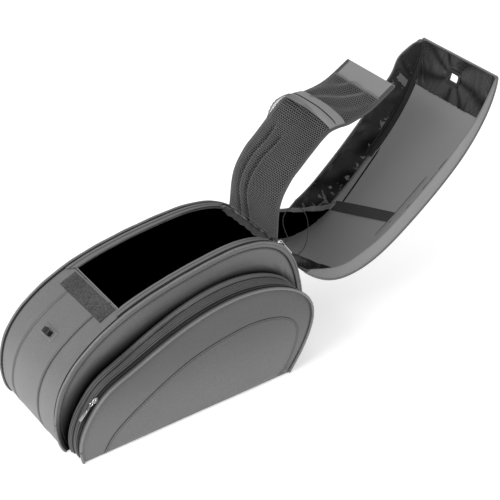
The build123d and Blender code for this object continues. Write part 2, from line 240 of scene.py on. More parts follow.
class Shell:
    """Collects closed grids and tubes, and joins them into one mesh object."""

    def __init__(self, name: str) -> None:
        """Args:
            name: the piece's name.
        """
        self.name = name
        self.points: list[Array] = []
        self.faces: list[tuple[int, ...]] = []
        self.uvs: list[Array] = []
        self.shades: list[Array] = []
        self.count = 0

    def _store(self, points: Array, uv: Array, dark: Number = 0.0) -> int:
        """Keep points, their UVs and their painted shade, and return the first one's number."""
        first = self.count
        self.shades.append(np.broadcast_to(dark, points.shape[:-1]).ravel())
        self.points.append(points.reshape(-1, 3))
        self.uvs.append(uv.reshape(-1, 2))
        self.count += self.points[-1].shape[0]
        return first

    def _quads(self, ids: Array) -> None:
        """Add the faces between neighbouring numbers of a grid."""
        a, b, c, d = ids[:-1, :-1], ids[1:, :-1], ids[1:, 1:], ids[:-1, 1:]
        self.faces += [tuple(q) for q in np.stack([a, b, c, d], -1).reshape(-1, 4).tolist()]

    def wall(self, outer: Array, inner: Array, uv: Optional[Array] = None, dark: Number = 0.0) -> "Shell":
        """Add a closed wall between two grids of the same size.

        Args:
            outer: (n, m, 3) points of the outer face.
            inner: (n, m, 3) points of the inner face.
            uv: (n, m, 2) pattern places in millimetres; worked out from the outer face when left out.
            dark: painted shade, from 0 to 1: how much darker than its finish each point is painted where shade falls
                in deep folds and seams.

        Returns:
            This shell, so that calls can follow each other.
        """
        if uv is None:
            along = np.linalg.norm(np.diff(outer, axis=0), axis=-1).mean(1)
            across = np.linalg.norm(np.diff(outer, axis=1), axis=-1).mean(0)
            u = np.concatenate([[0], np.cumsum(along)])
            v = np.concatenate([[0], np.cumsum(across)])
            uv = np.stack(np.meshgrid(u, v, indexing="ij"), -1)
        n, m = outer.shape[:2]
        top = self._store(outer, uv, dark) + np.arange(n * m).reshape(n, m)
        low = self._store(inner, uv) + np.arange(n * m).reshape(n, m)
        self._quads(top)
        self._quads(low[:, ::-1])
        for i in (0, -1):
            self._quads(np.stack([top[i], low[i]]))
            self._quads(np.stack([top[:, i], low[:, i]]))
        return self

    def tube(self, path: Array, radius: Number, sides: int = 12, flat: float = 1.0) -> "Shell":
        """Add a closed tube.

        Args:
            path: (n, 3) points of its middle line.
            radius: its radius, the same all along or one for each point.
            sides: how many faces go round it.
            flat: share of the radius kept in the direction nearest to up.

        Returns:
            This shell.
        """
        tangent = np.gradient(path, axis=0)
        tangent /= np.linalg.norm(tangent, axis=1)[:, None]
        side = np.cross(tangent, [0.03, 0.02, 1.0])
        side /= np.linalg.norm(side, axis=1)[:, None]
        up = np.cross(side, tangent)
        angle = np.linspace(0, 2 * math.pi, sides, endpoint=False)
        wide = np.broadcast_to(np.asarray(radius, float), len(path))[:, None, None]
        ring = side[:, None] * np.cos(angle)[:, None] + up[:, None] * np.sin(angle)[:, None] * flat
        s = np.concatenate([[0], np.cumsum(np.linalg.norm(np.diff(path, axis=0), axis=1))])
        uv = np.stack(np.broadcast_arrays(s[:, None], angle[None] * float(np.mean(radius))), -1)
        n = len(path)
        ids = self._store(path[:, None] + ring * wide, uv) + np.arange(n * sides).reshape(n, sides)
        self._quads(np.concatenate([ids, ids[:, :1]], 1))
        self.faces.append(tuple(ids[0].tolist()))
        self.faces.append(tuple(ids[-1, ::-1].tolist()))
        return self

    def solid(self, points: Array, faces: Sequence[Sequence[int]]) -> "Shell":
        """Add a small closed solid from its points and faces."""
        first = self._store(points, points[:, :2])
        self.faces += [tuple(first + i for i in face) for face in faces]
        return self

    def layer(self, grid: Array, keep: Array, dark: Number = 0.0) -> "Shell":
        """Add one open layer of a grid, which build() then gives its thickness.

        Args:
            grid: (n, m, 3) points.
            keep: (n, m) truth of the points that stay.
            dark: painted shade: how much darker than its finish each point is painted.

        Returns:
            This shell.
        """
        n, m = keep.shape
        uv = np.stack(np.meshgrid(np.arange(n), np.arange(m), indexing="ij"), -1).astype(float)
        ids = self._store(grid, uv, dark) + np.arange(n * m).reshape(n, m)
        whole = keep[:-1, :-1] & keep[1:, :-1] & keep[1:, 1:] & keep[:-1, 1:]
        quads = np.stack([ids[:-1, :-1], ids[1:, :-1], ids[1:, 1:], ids[:-1, 1:]], -1)[whole]
        self.faces += [tuple(q) for q in quads.tolist()]
        return self

    def build(self, sharp: float = 50.0, thickness: float = 0.0) -> bpy.types.Object:
        """Make the mesh object.

        Args:
            sharp: angle in degrees past which an edge is shaded as a crease.
            thickness: thickness of a piece made of one open layer.

        Returns:
            The new object, at the origin, in metres.
        """
        mesh = bpy.data.meshes.new(self.name)
        points = np.vstack(self.points) * MM
        mesh.from_pydata(points.tolist(), [], self.faces)
        layer = mesh.uv_layers.new(name="pattern")
        corners = np.empty(len(mesh.loops), np.int32)
        mesh.loops.foreach_get("vertex_index", corners)
        layer.data.foreach_set("uv", (np.vstack(self.uvs) * MM)[corners].astype(np.float32).ravel())
        # The dark attribute carries the painted shade to the materials.
        dark = mesh.attributes.new("dark", "FLOAT", "POINT")
        dark.data.foreach_set("value", np.concatenate(self.shades).astype(np.float32))
        work = bmesh.new()
        work.from_mesh(mesh)
        bmesh.ops.delete(work, geom=[v for v in work.verts if not v.link_faces], context="VERTS")
        bmesh.ops.recalc_face_normals(work, faces=work.faces)
        work.to_mesh(mesh)
        work.free()
        piece = add_object(self.name, mesh)
        if thickness:
            solid = piece.modifiers.new("thickness", "SOLIDIFY")
            solid.thickness, solid.offset = thickness * MM, 0.0
            flatten(piece)
        shade(piece, sharp)
        return piece


def shade(piece: bpy.types.Object, sharp: float = 50.0) -> None:
    """Shade a mesh smoothly, with creases where faces meet at more than sharp degrees."""
    piece.data.shade_smooth()
    piece.data.set_sharp_from_angle(angle=math.radians(sharp))


def flatten(piece: bpy.types.Object) -> bpy.types.Object:
    """Turn a piece's modifiers into plain mesh, and take them off."""
    graph = bpy.context.evaluated_depsgraph_get()
    mesh = bpy.data.meshes.new_from_object(piece.evaluated_get(graph))
    mesh.name = piece.name
    piece.modifiers.clear()
    piece.data = mesh
    return piece


def hand_over(
    piece: bpy.types.Object,
    body: Union[str, tuple[str, str, Array, Array]],
    slot: str,
    finish: bpy.types.Material,
    *nodes: str,
) -> bpy.types.Object:
    """Give a finished piece its material and its body, and hide the frame nodes that it stands for.

    Args:
        piece: the mesh object.
        body: the body it rides on, or (body, other body, start, end), in which case it is only baked in place and
            rides on no body.
        slot: name of a material slot; not used.
        finish: its material.
        nodes: frame nodes that it replaces.

    Returns:
        The piece.
    """
    if piece.type == "MESH" and not (len(piece.data.materials) and piece.data.materials[0] == finish):
        piece.data.materials.clear()
        piece.data.materials.append(finish)
    if isinstance(body, str):
        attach(piece, body)
    else:
        first, second, start, end = body
        tuple(np.asarray(start) * MM)
        tuple(np.asarray(end) * MM)
        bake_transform(piece)
    if nodes:
        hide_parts(*nodes)
    LOG.info("%s rides on %s", piece.name, body if isinstance(body, str) else body[:2])
    return piece


def repaint(node: str, finish: bpy.types.Material) -> None:
    """Give its finish to a frame node that keeps its shape."""
    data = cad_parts[node].data
    data.materials.clear()
    data.materials.append(finish)


# ---- what repeats along a line ----
@dataclass(frozen=True)
class Bead:
    """Size of one small piece that repeats along a line, and how far apart two of them are."""

    spacing: float
    length: float
    width: float
    height: float


STITCH = Bead(spacing=4.2, length=3.0, width=0.8, height=0.8)
COIL = Bead(spacing=1.9, length=1.2, width=3.6, height=1.7)


class RepeatTree:
    """Geometry Nodes tree that sets one round bead after another along the lines of a mesh."""

    INPUTS = ("Spacing", "Length", "Width", "Height")

    def __init__(self) -> None:
        """Builds the tree, with named inputs for the bead's sizes and its material."""
        tree = bpy.data.node_groups.new("beads_along_lines", "GeometryNodeTree")
        face = tree.interface
        face.new_socket("Geometry", in_out="INPUT", socket_type="NodeSocketGeometry")
        self.sockets = {name: face.new_socket(name, in_out="INPUT", socket_type="NodeSocketFloat")
                        for name in self.INPUTS}
        self.sockets["Finish"] = face.new_socket("Finish", in_out="INPUT", socket_type="NodeSocketMaterial")
        face.new_socket("Geometry", in_out="OUTPUT", socket_type="NodeSocketGeometry")
        given = put(tree, "NodeGroupInput").outputs
        line = put(tree, "GeometryNodeMeshToCurve", {"Mesh": given["Geometry"]})
        even = put(tree, "GeometryNodeResampleCurve", {"Curve": line.outputs[0], "Length": given["Spacing"]},
                   mode="LENGTH")
        run = put(tree, "GeometryNodeInputTangent")
        up = put(tree, "GeometryNodeInputNamedAttribute", {"Name": "up"}, data_type="FLOAT_VECTOR")
        turn = put(tree, "FunctionNodeAlignRotationToVector", {"Vector": run.outputs[0]}, axis="X")
        turn = put(tree, "FunctionNodeAlignRotationToVector",
                   {"Rotation": turn.outputs[0], "Vector": up.outputs[0]}, axis="Z", pivot_axis="X")
        size = put(tree, "ShaderNodeCombineXYZ",
                   {"X": given["Length"], "Y": given["Width"], "Z": given["Height"]})
        bead = put(tree, "GeometryNodeMeshUVSphere", {"Segments": 8, "Rings": 4, "Radius": 0.5})
        many = put(tree, "GeometryNodeInstanceOnPoints",
                   {"Points": even.outputs[0], "Instance": bead.outputs[0], "Rotation": turn.outputs[0],
                    "Scale": size.outputs[0]})
        real = put(tree, "GeometryNodeRealizeInstances", {"Geometry": many.outputs[0]})
        soft = put(tree, "GeometryNodeSetShadeSmooth", {"Geometry": real.outputs[0]})
        done = put(tree, "GeometryNodeSetMaterial",
                   {"Geometry": soft.outputs[0], "Material": given["Finish"]})
        put(tree, "NodeGroupOutput", {"Geometry": done.outputs[0]})
        self.tree = tree

    def run(self, name: str, lines: Sequence[tuple[Array, Array]], bead: Bead,
            finish: bpy.types.Material) -> bpy.types.Object:
        """Set beads along lines.

        Args:
            name: the new piece's name.
            lines: (points, up directions) of each line, in millimetres.
            bead: the bead's sizes and spacing.
            finish: its material.

        Returns:
            One plain mesh object with every bead.
        """
        points = np.vstack([p for p, _ in lines]) * MM
        ups = np.vstack([np.broadcast_to(u, p.shape) for p, u in lines])
        edges, first = [], 0
        for p, _ in lines:
            edges += [(first + i, first + i + 1) for i in range(len(p) - 1)]
            first += len(p)
        mesh = bpy.data.meshes.new(name)
        mesh.from_pydata(points.tolist(), edges, [])
        mesh.attributes.new("up", "FLOAT_VECTOR", "POINT").data.foreach_set("vector", ups.ravel())
        piece = add_object(name, mesh)
        beads = piece.modifiers.new("beads", "NODES")
        beads.node_group = self.tree
        for key, value in zip(self.INPUTS, (bead.spacing, bead.length, bead.width, bead.height)):
            beads[self.sockets[key].identifier] = value * MM
        beads[self.sockets["Finish"].identifier] = finish
        return flatten(piece)


# ---- materials ----
def put(tree: bpy.types.NodeTree, kind: str, inputs: Optional[dict] = None,
        **settings: object) -> bpy.types.Node:
    """Add one node to a tree.

    Args:
        tree: the node tree.
        kind: the node's type name.
        inputs: values or sockets for its inputs, by name or number.
        settings: the node's own properties.

    Returns:
        The node.
    """
    node = tree.nodes.new(kind)
    for key, value in settings.items():
        setattr(node, key, value)
    for key, value in (inputs or {}).items():
        if isinstance(value, bpy.types.NodeSocket):
            tree.links.new(value, node.inputs[key])
        else:
            node.inputs[key].default_value = value
    return node


def linear(colour: str) -> tuple[float, float, float, float]:
    """Linear colour of an sRGB hex value such as #6e6e6e."""
    parts = [int(colour[i:i + 2], 16) / 255 for i in (1, 3, 5)]
    return (*[c / 12.92 if c <= 0.04045 else ((c + 0.055) / 1.055) ** 2.4 for c in parts], 1.0)


class Pattern(Enum):
    """How a surface's fine relief is made."""

    GRAIN = "pebbled grain pressed into coated cloth"
    WEAVE = "threads crossing at right angles"
    RIB = "ribs across a narrow tape"
    FUZZ = "short loops and hooks"
    BRAID = "strands wound round a cord"
    CAST = "cast and plated metal"


@dataclass(frozen=True)
class Finish:
    """One finish: its colours, gloss and relief. Sizes are in millimetres."""

    name: str
    light: str                       # colour of crests and worn places
    dark: str                        # colour of hollows
    pattern: Pattern
    size: float                      # width of one grain cell, thread or rib
    relief: float                    # height of the relief
    roughness: float = 0.5
    metallic: float = 0.0
    sheen: float = 0.0
    specular: float = 0.5
    blotch: float = 60.0             # width of the slow colour changes
    UNEVEN: ClassVar[float] = 0.06   # how far the roughness wanders
    ONE_WAVE: ClassVar[float] = 0.31  # scale at which a wave texture makes one wave in a unit

    def build(self) -> bpy.types.Material:
        """Make the material.

        Returns:
            A node material with no textures from files.
        """
        material = bpy.data.materials.new(self.name)
        material.use_nodes = True
        tree = material.node_tree
        tree.nodes.clear()
        place = put(tree, "ShaderNodeTexCoord")
        height = self._relief(tree, place)
        slow = put(tree, "ShaderNodeTexNoise",
                   {"Vector": place.outputs["Object"], "Scale": 1 / (self.blotch * MM), "Detail": 3.0})
        both = put(tree, "ShaderNodeMath", {0: height, 1: slow.outputs["Fac"]}, operation="MULTIPLY")
        share = put(tree, "ShaderNodeMapRange", {"Value": both.outputs[0], "From Min": 0.1, "From Max": 0.5})
        colour = put(tree, "ShaderNodeMix", {"Factor": share.outputs[0]}, data_type="RGBA")
        colour.inputs[6].default_value = linear(self.dark)
        colour.inputs[7].default_value = linear(self.light)
        gloss = put(tree, "ShaderNodeMapRange",
                    {"Value": slow.outputs["Fac"], "From Min": 0.3, "From Max": 0.7,
                     "To Min": self.roughness - self.UNEVEN, "To Max": self.roughness + self.UNEVEN})
        bump = put(tree, "ShaderNodeBump", {"Height": height, "Distance": self.relief * MM, "Strength": 1.0})
        # Painted shade: the mesh's dark attribute darkens the base colour and the specular where shade falls in
        # creases, seams, grooves and folds.
        dark = put(tree, "ShaderNodeAttribute", attribute_name="dark").outputs["Fac"]
        left = put(tree, "ShaderNodeMath", {0: 1.0, 1: dark}, operation="SUBTRACT", use_clamp=True).outputs[0]
        painted_shade_colour = put(tree, "ShaderNodeVectorMath", {0: colour.outputs[2], "Scale": left}, operation="SCALE")
        shine = put(tree, "ShaderNodeMath", {0: left, 1: self.specular}, operation="MULTIPLY").outputs[0]
        shader = put(tree, "ShaderNodeBsdfPrincipled", {
            "Base Color": painted_shade_colour.outputs[0], "Roughness": gloss.outputs[0], "Normal": bump.outputs[0],
            "Metallic": self.metallic, "Sheen Weight": self.sheen, "Specular IOR Level": shine})
        put(tree, "ShaderNodeOutputMaterial", {"Surface": shader.outputs[0]})
        return material

    def _relief(self, tree: bpy.types.NodeTree, place: bpy.types.Node) -> bpy.types.NodeSocket:
        """Height of the fine relief, from 0 to 1, as a socket."""
        by_object, by_uv = place.outputs["Object"], place.outputs["UV"]
        per_metre = 1 / (self.size * MM)

        def wave(vector: bpy.types.NodeSocket, distortion: float = 0.0, detail: float = 2.0,
                 direction: str = "X") -> bpy.types.NodeSocket:
            """Ridges at the finish's size, across the given direction."""
            return put(tree, "ShaderNodeTexWave",
                       {"Vector": vector, "Scale": per_metre * self.ONE_WAVE, "Distortion": distortion,
                        "Detail": detail}, bands_direction=direction).outputs["Fac"]

        def stretch(value: bpy.types.NodeSocket, low: float, high: float) -> bpy.types.NodeSocket:
            """The value, spread so that low gives 0 and high gives 1."""
            return put(tree, "ShaderNodeMapRange",
                       {"Value": value, "From Min": low, "From Max": high}).outputs[0]

        if self.pattern is Pattern.GRAIN:
            cells = put(tree, "ShaderNodeTexVoronoi", {"Vector": by_object, "Scale": per_metre},
                        feature="SMOOTH_F1")
            return stretch(cells.outputs["Distance"], 0.7, 0.0)
        if self.pattern in (Pattern.FUZZ, Pattern.CAST):
            fuzz = put(tree, "ShaderNodeTexNoise",
                       {"Vector": by_object, "Scale": per_metre, "Detail": 6.0, "Roughness": 0.7})
            return stretch(fuzz.outputs["Fac"], 0.3, 0.7)
        if self.pattern is Pattern.RIB:
            return wave(by_uv, 0.6, 1.0)
        if self.pattern is Pattern.BRAID:
            turned = put(tree, "ShaderNodeMapping", {"Vector": by_uv, "Rotation": (0.0, 0.0, 0.8)})
            return wave(turned.outputs[0])
        warp, weft = wave(by_uv, 0.4, 1.0), wave(by_uv, 0.4, 1.0, "Y")
        return put(tree, "ShaderNodeMath", {0: warp, 1: weft}, operation="MULTIPLY").outputs[0]


# Embossed polyurethane leather: even mid grey with a soft satin light on every crest. The grain is drawn
# at twice its real 1 mm, because the real one is too fine to show.
LEATHER = Finish("embossed_pu_leather", "#747474", "#696969", Pattern.GRAIN, 2.0, 0.16, roughness=0.42)
# The same leather rolled tightly over a plastic cord: stretched smooth, so it is a little glossier, and painted paler
# than the leather as a painted highlight along each piping and binding.
PIPING = Finish("piped_pu_leather", "#828282", "#707070", Pattern.GRAIN, 2.0, 0.08, roughness=0.34)
# Leather that the lid is covered with: the body's leather painted paler, painted light where the light falls on the
# lid.
LID_LEATHER_PAINTED_LIGHT = Finish("lid_pu_leather", "#7d7d7d", "#717171", Pattern.GRAIN, 2.0, 0.14, roughness=0.42)
# Knitted lining cloth glued over a stiff board: flat, matt and even.
BOARD_CLOTH = Finish("board_lining_cloth", "#8e8e8e", "#828282", Pattern.WEAVE, 1.6, 0.06, roughness=0.75,
                     sheen=0.1)
# Coated nylon: dark, thin, with a faint sheen on its folds.
NYLON = Finish("coated_nylon", "#303030", "#202020", Pattern.WEAVE, 1.2, 0.05, roughness=0.45, sheen=0.15)
# The lining of the main compartment: the same nylon painted black as painted shadow, for the shade inside the bag.
NYLON_PAINTED_SHADOW = Finish("black_nylon", "#010101", "#000000", Pattern.WEAVE, 1.2, 0.04, roughness=0.9,
                     specular=0.0)
# Nylon panel behind the netting: matt and dark, so that the open net stands out from it.
FLAP_NYLON = Finish("flap_nylon", "#4c4c4c", "#3c3c3c", Pattern.WEAVE, 1.2, 0.05, roughness=0.6, sheen=0.15)
# Knitted polyester netting: matt, paler than the nylon behind it.
NET = Finish("knitted_polyester_net", "#828282", "#6a6a6a", Pattern.FUZZ, 1.0, 0.1, roughness=0.6)
# Woven zip tape: nearly black, which draws a dark line along every zip.
ZIP_TAPE = Finish("zip_tape", "#161616", "#0b0b0b", Pattern.RIB, 1.4, 0.1, roughness=0.7)
# Wound polyester coil: smooth plastic monofilament that catches small lights.
ZIP_COIL = Finish("zip_coil", "#4a4a4a", "#363636", Pattern.CAST, 2.0, 0.02, roughness=0.35)
# Ribbed polypropylene webbing: even ribs that shade it in fine stripes.
WEBBING = Finish("ribbed_webbing", "#3d3d3d", "#222222", Pattern.RIB, 3.2, 0.5, roughness=0.65, blotch=200.0)
# Loop side of hook-and-loop tape: fuzzy and mottled.
LOOP_TAPE = Finish("loop_tape", "#555555", "#141414", Pattern.FUZZ, 2.6, 0.7, roughness=0.95, sheen=0.3)
# Bright chrome plate over a die casting.
CHROME = Finish("bright_chrome_plate", "#dcdcdc", "#b4b4b4", Pattern.CAST, 6.0, 0.02, roughness=0.16,
                metallic=1.0)
# Black lacquer on steel: dark, with one small bright edge.
BLACK_LACQUER = Finish("black_lacquered_steel", "#141414", "#090909", Pattern.CAST, 4.0, 0.03, roughness=0.3)
# Thin braided polyester cord: a dark line, broken a little by its strands.
CORD = Finish("braided_cord", "#242424", "#101010", Pattern.BRAID, 1.0, 0.12, roughness=0.6)
# Bonded polyester sewing thread: each stitch a shade darker than the leather.
THREAD = Finish("sewing_thread", "#5c5c5c", "#444444", Pattern.BRAID, 0.8, 0.05, roughness=0.5)


class Materials:
    """Every finish of the bag, built once."""

    def __init__(self) -> None:
        """Builds the materials from the finishes above."""
        self.leather = LEATHER.build()
        self.piping = PIPING.build()
        self.lid_leather = LID_LEATHER_PAINTED_LIGHT.build()
        self.board = BOARD_CLOTH.build()
        self.nylon = NYLON.build()
        self.black_nylon = NYLON_PAINTED_SHADOW.build()
        self.flap_nylon = FLAP_NYLON.build()
        self.net = NET.build()
        self.tape = ZIP_TAPE.build()
        self.coil = ZIP_COIL.build()
        self.webbing = WEBBING.build()
        self.loop_tape = LOOP_TAPE.build()
        self.chrome = CHROME.build()
        self.black = BLACK_LACQUER.build()
        self.cord = CORD.build()
        self.thread = THREAD.build()


# ---- the bag's body ----
def skin(place: Callable[[Array, Array, Number], Array], s: Array, y: Array, off: Number,
         wall: float) -> tuple[Array, Array]:
    """Both faces of a thin wall that follows a curve.

    Args:
        place: gives the point for an arc length, a width and a height.
        s: (n,) arc lengths of the rows.
        y: (n, m) widths.
        off: height of the first face.
        wall: how far the second face lies below the first.

    Returns:
        Two (n, m, 3) grids.
    """
    along = along_rows(s, y)
    return place(along, y, off), place(along, y, off - wall)


def nested(line: Outline, inner: Callable[[Array], Array], rows: Sequence[tuple[float, float]],
           s: Array) -> tuple[Array, Array]:
    """Rows of points in the XZ plane, from an outline in towards an inner curve.

    Args:
        line: the outline.
        inner: gives the inner curve's (x, z) points for the arc lengths.
        rows: (share, distance) of each row: that share of the way in, plus that many millimetres.
        s: arc lengths of the columns.

    Returns:
        (rows, columns, 2) points, and the distance of each from the outline.
    """
    edge, core = line.at(s), inner(s)
    way = core - edge
    length = np.linalg.norm(way, axis=1)[:, None]
    grid = np.stack([edge + way * (share + distance / length) for share, distance in rows])
    return grid, np.linalg.norm(grid - edge[None], axis=-1)


@dataclass
class BagBody:
    """The body: front, gusset and side panels, pipings, welts, main zip, patch, staple tab and linings."""

    materials: Materials
    repeat: RepeatTree
    open_front: float = 300.0
    open_rear: float = 628.0
    tall_edge: float = 724.0
    open_share: float = 0.775
    wall: float = 2.2
    pipe_radius: float = 2.4
    zip_in: float = 4.4
    seam_roll: float = 3.2
    seam_depth: float = 1.5
    # Width of the painted shade beside each front seam.
    seam_shade_width: float = 2.6
    crease: tuple[float, float] = (32.0, 15.0)      # reach of the shade beside the pocket, low end and tall end
    hem: float = 40.0                               # width of the side panels' finely moulded border
    stitch_in: float = 12.2
    patch_ends: tuple[float, float] = (261.0, 295.5)
    patch_sides: tuple[float, float] = (-0.745, 0.70)  # as shares of the body's half width
    staple_at: float = 190.5
    staple_tab_size: tuple[float, float] = (21.0, 38.0)
    near_seam: tuple[tuple[float, float], ...] = (
        (0, -36), (36, -36), (87, -37), (146, -42), (202, -46), (300, -49))
    far_seam: tuple[tuple[float, float], ...] = (
        (0, 58), (55, 58), (87, 53), (148, 47), (202, 43), (300, 38))

    def seam(self, side: Side, s: Number) -> Number:
        """Width at which the front seam of one side runs."""
        table = np.array(self.near_seam if side is Side.NEAR else self.far_seam)
        return np.interp(s, table[:, 0], table[:, 1])

    def panel(self, name: str, s: Array, low: Array, high: Array, node: Sequence[str], columns: int = 29,
              rolls: tuple[float, float] = (1.0, 1.0), ends: tuple[float, float] = (0.0, 0.0),
              dyed: tuple[float, float] = (0.0, 0.0)) -> None:
        """Make one panel that follows the profile between two side lines.

        Args:
            name: the piece's name.
            s: arc lengths of its rows.
            low: width of its low side line at each row.
            high: width of its high side line.
            node: frame nodes that it replaces.
            columns: points across it.
            rolls: how strongly its low and its high side turn down.
            ends: how strongly its first and its last row turn down.
            dyed: painted shade in the seam grooves at its low and its high side.
        """
        t = spread(columns)
        y = low[:, None] + (high - low)[:, None] * t
        off = rolls[0] * rolled(y - low[:, None], self.seam_roll, self.seam_depth)
        off = off + rolls[1] * rolled(high[:, None] - y, self.seam_roll, self.seam_depth)
        off = off + ends[0] * rolled(s - s[0], self.seam_roll, self.seam_depth)[:, None]
        off = off + ends[1] * rolled(s[-1] - s, self.seam_roll, self.seam_depth)[:, None]
        flat = BODY.place(along_rows(s, y), y)
        near_edge = np.exp(-np.minimum(y - low[:, None], high[:, None] - y) / 7.0)
        off = off + 0.35 * waves(flat, 55.0, 3.0) + 0.22 * near_edge * waves(flat, 9.0, 7.0)
        # Painted shade darkening the panel into its seam grooves.
        dark = dyed[0] * smooth(1 - (y - low[:, None]) / self.seam_shade_width)
        dark = dark + dyed[1] * smooth(1 - (high[:, None] - y) / self.seam_shade_width)
        piece = Shell(name).wall(*skin(BODY.place, s, y, off, self.wall), dark=dark).build()
        hand_over(piece, "bag", "synthetic_leather", self.materials.leather, *node)

    def panels(self) -> None:
        """Front, gusset, rear and tall end panels."""
        s = np.concatenate([np.arange(0.5, self.open_front - 6, 4.0),
                            self.open_front - np.array([6, 4, 2.5, 1.2, 0])])
        near, far = self.seam(Side.NEAR, s), self.seam(Side.FAR, s)
        self.panel("front_skin", s, near, far, ["front_panel"], rolls=(1.5, 0.6), ends=(0.0, 0.8),
                   dyed=(0.85, 0.35))
        for side in Side:
            sign = side.value
            inner, outer = self.seam(side, s), sign * (edge_at(s) - 0.6)
            self.panel(f"front_gusset_{side.word}", s, np.minimum(inner, outer), np.maximum(inner, outer),
                       [f"gusset_strip_{side.word}"], columns=23, ends=(0.0, 0.8),
                       dyed=(0.2, 0.85) if side is Side.NEAR else (0.35, 0.2))
            rim = np.arange(self.open_front + 0.4, self.open_rear, 4.0)
            inner, outer = sign * edge_at(rim) * self.open_share, sign * (edge_at(rim) - 0.6)
            self.panel(f"rim_gusset_{side.word}", rim, np.minimum(inner, outer), np.maximum(inner, outer), [],
                       columns=9)
        rear = spread(26, self.open_rear, self.tall_edge)
        half = edge_at(rear) - 0.6
        self.panel("rear_top_skin", rear, -half, half, ["rear_top_panel"], ends=(1.0, 1.0))
        tall = spread(40, self.tall_edge + 0.3, BODY.total - 0.3)
        half = edge_at(tall) - 0.6
        self.panel("tall_end_skin", tall, -half, half, ["tall_end_panel", "hinge_tape"], ends=(1.0, 0.0))

    def side_panels(self) -> None:
        """The side panels: a rolled hem under the piping, a stitched groove, then a lightly padded field, with
        painted shade in the crease beside the pocket and in the groove.
        """
        s = np.linspace(0, BODY.total, 200)
        border = (0, 0.6, 1.4, 2.4, 3.6, 5.0, 6.4, 7.6, 8.6, 9.3, 9.9, 10.6, 11.6, 13.5, 17, 22, 30, self.hem)
        rows = [(0, d) for d in border]
        rows += [(share, self.hem * (1 - share)) for share in np.linspace(0.03, 0.999, 32)]
        grid, depth = nested(BODY, floor_line, rows, s)
        bulge = ridge(depth, 4.6, 4.8, 2.6) + ridge(depth, 9.6, 1.6, -1.0) - 0.6
        bulge = bulge + 2.2 * smooth((depth - 9.6) / 26) * smooth(1.6 - depth / 90)
        # Painted shade: the panel darkens to black towards the pocket's outline (fold), and a dark line of painted
        # shade lies in the stitched groove (line).
        gap = np.sqrt(((grid[:, :, None] - POCKET.points[::12]) ** 2).sum(-1)).min(-1)
        fold = 1 - np.clip(gap / np.interp(grid[..., 0], [-150, 20], self.crease), 0, 1) ** 2.0
        line = 0.75 * ridge(depth, 9.7, 1.2, 1.0)
        for side in Side:
            sign = side.value
            y = half_width(grid[..., 0]) + bulge * smooth(grid[..., 1] / 6 + 0.1)
            points = np.stack([grid[..., 0], y, grid[..., 1]], -1)
            points[..., 1] += 0.3 * waves(points, 40.0, sign) * smooth(depth / 12)
            outer = points * [1, sign, 1]
            inner = outer - np.array([0, sign * self.wall, 0])
            piece = Shell(f"side_skin_{side.word}").wall(outer, inner, grid, np.maximum(fold, line)).build()
            hand_over(piece, "bag", "synthetic_leather", self.materials.leather, f"side_panel_{side.word}")

    def pipings(self) -> None:
        """The round piping along both edges of the body."""
        s = np.linspace(1.0, BODY.total - 1.0, 190)
        for side in Side:
            path = BODY.place(s, side.value * (edge_at(s) + 0.4), 0.8 + 0.25 * np.sin(s * 0.11))
            radius = self.pipe_radius + 0.12 * waves(path, 6.0)
            piece = Shell(f"body_piping_{side.word}").tube(path, radius).build()
            hand_over(piece, "bag", "piping", self.materials.piping, f"edge_piping_{side.word}")

    def main_zip(self) -> None:
        """Zip tapes beside both pipings, with their coils."""
        s = np.linspace(4.0, 700.0, 170)
        tapes, coils = Shell("main_zip_tapes"), []
        for side in Side:
            middle = edge_at(s) - self.zip_in
            across = np.linspace(-2.2, 2.6, 7)
            y = side.value * (middle[:, None] + across)
            off = np.broadcast_to(0.55 + ridge(across, 0, 1.8, 0.5), y.shape)
            tapes.wall(*skin(BODY.place, s, y, off, 0.8))
            coils.append((BODY.place(s, side.value * middle, 1.0), BODY.up(s)))
        hand_over(tapes.build(), "bag", "zip", self.materials.tape, "main_zip")
        coil = self.repeat.run("main_zip_coil", coils, Bead(1.9, 1.2, 2.6, 1.3), self.materials.tape)
        hand_over(coil, "bag", "zip", self.materials.tape)

    def welts(self) -> None:
        """The leather welts along the opening: two soft ridges that come to a rounded point at each end, with painted
        shade in their grooves.
        """
        s = np.concatenate([288 + np.array([0, 0.8, 2, 3.6, 5.6, 8, 11, 15]), np.arange(307, 600, 5.0),
                            612 - np.array([9, 6, 3.6, 1.6, 0])])
        for side in Side:
            point = np.sqrt(np.clip((s - 287.6) / 18, 0, 1)) * np.sqrt(np.clip((612.5 - s) / 14, 0, 1))
            outer = edge_at(s) - self.zip_in - 2.6
            inner = outer - (outer - edge_at(s) * self.open_share + 1.2) * point
            y = inner[:, None] + (outer - inner)[:, None] * spread(19)
            d = outer[:, None] - y
            off = 0.5 + ridge(d, 3.4, 3.6, 3.0) + ridge(d, 10.6, 3.8, 2.4) * point[:, None]
            # Painted shade in the groove between the ridges and along the welt's outer edge.
            dark = 0.9 * smooth(1 - np.abs(d - 7.0) / 1.3) + 0.8 * smooth(1 - d / 0.9)
            off = off + 0.25 * waves(BODY.place(along_rows(s, y), y), 18.0, 5.0)
            piece = Shell(f"welt_{side.word}").wall(*skin(BODY.place, s, side.value * y, off, 1.2), dark=dark).build()
            nodes = ["opening_welts"] if side is Side.NEAR else []
            hand_over(piece, "bag", "synthetic_leather", self.materials.leather, *nodes)

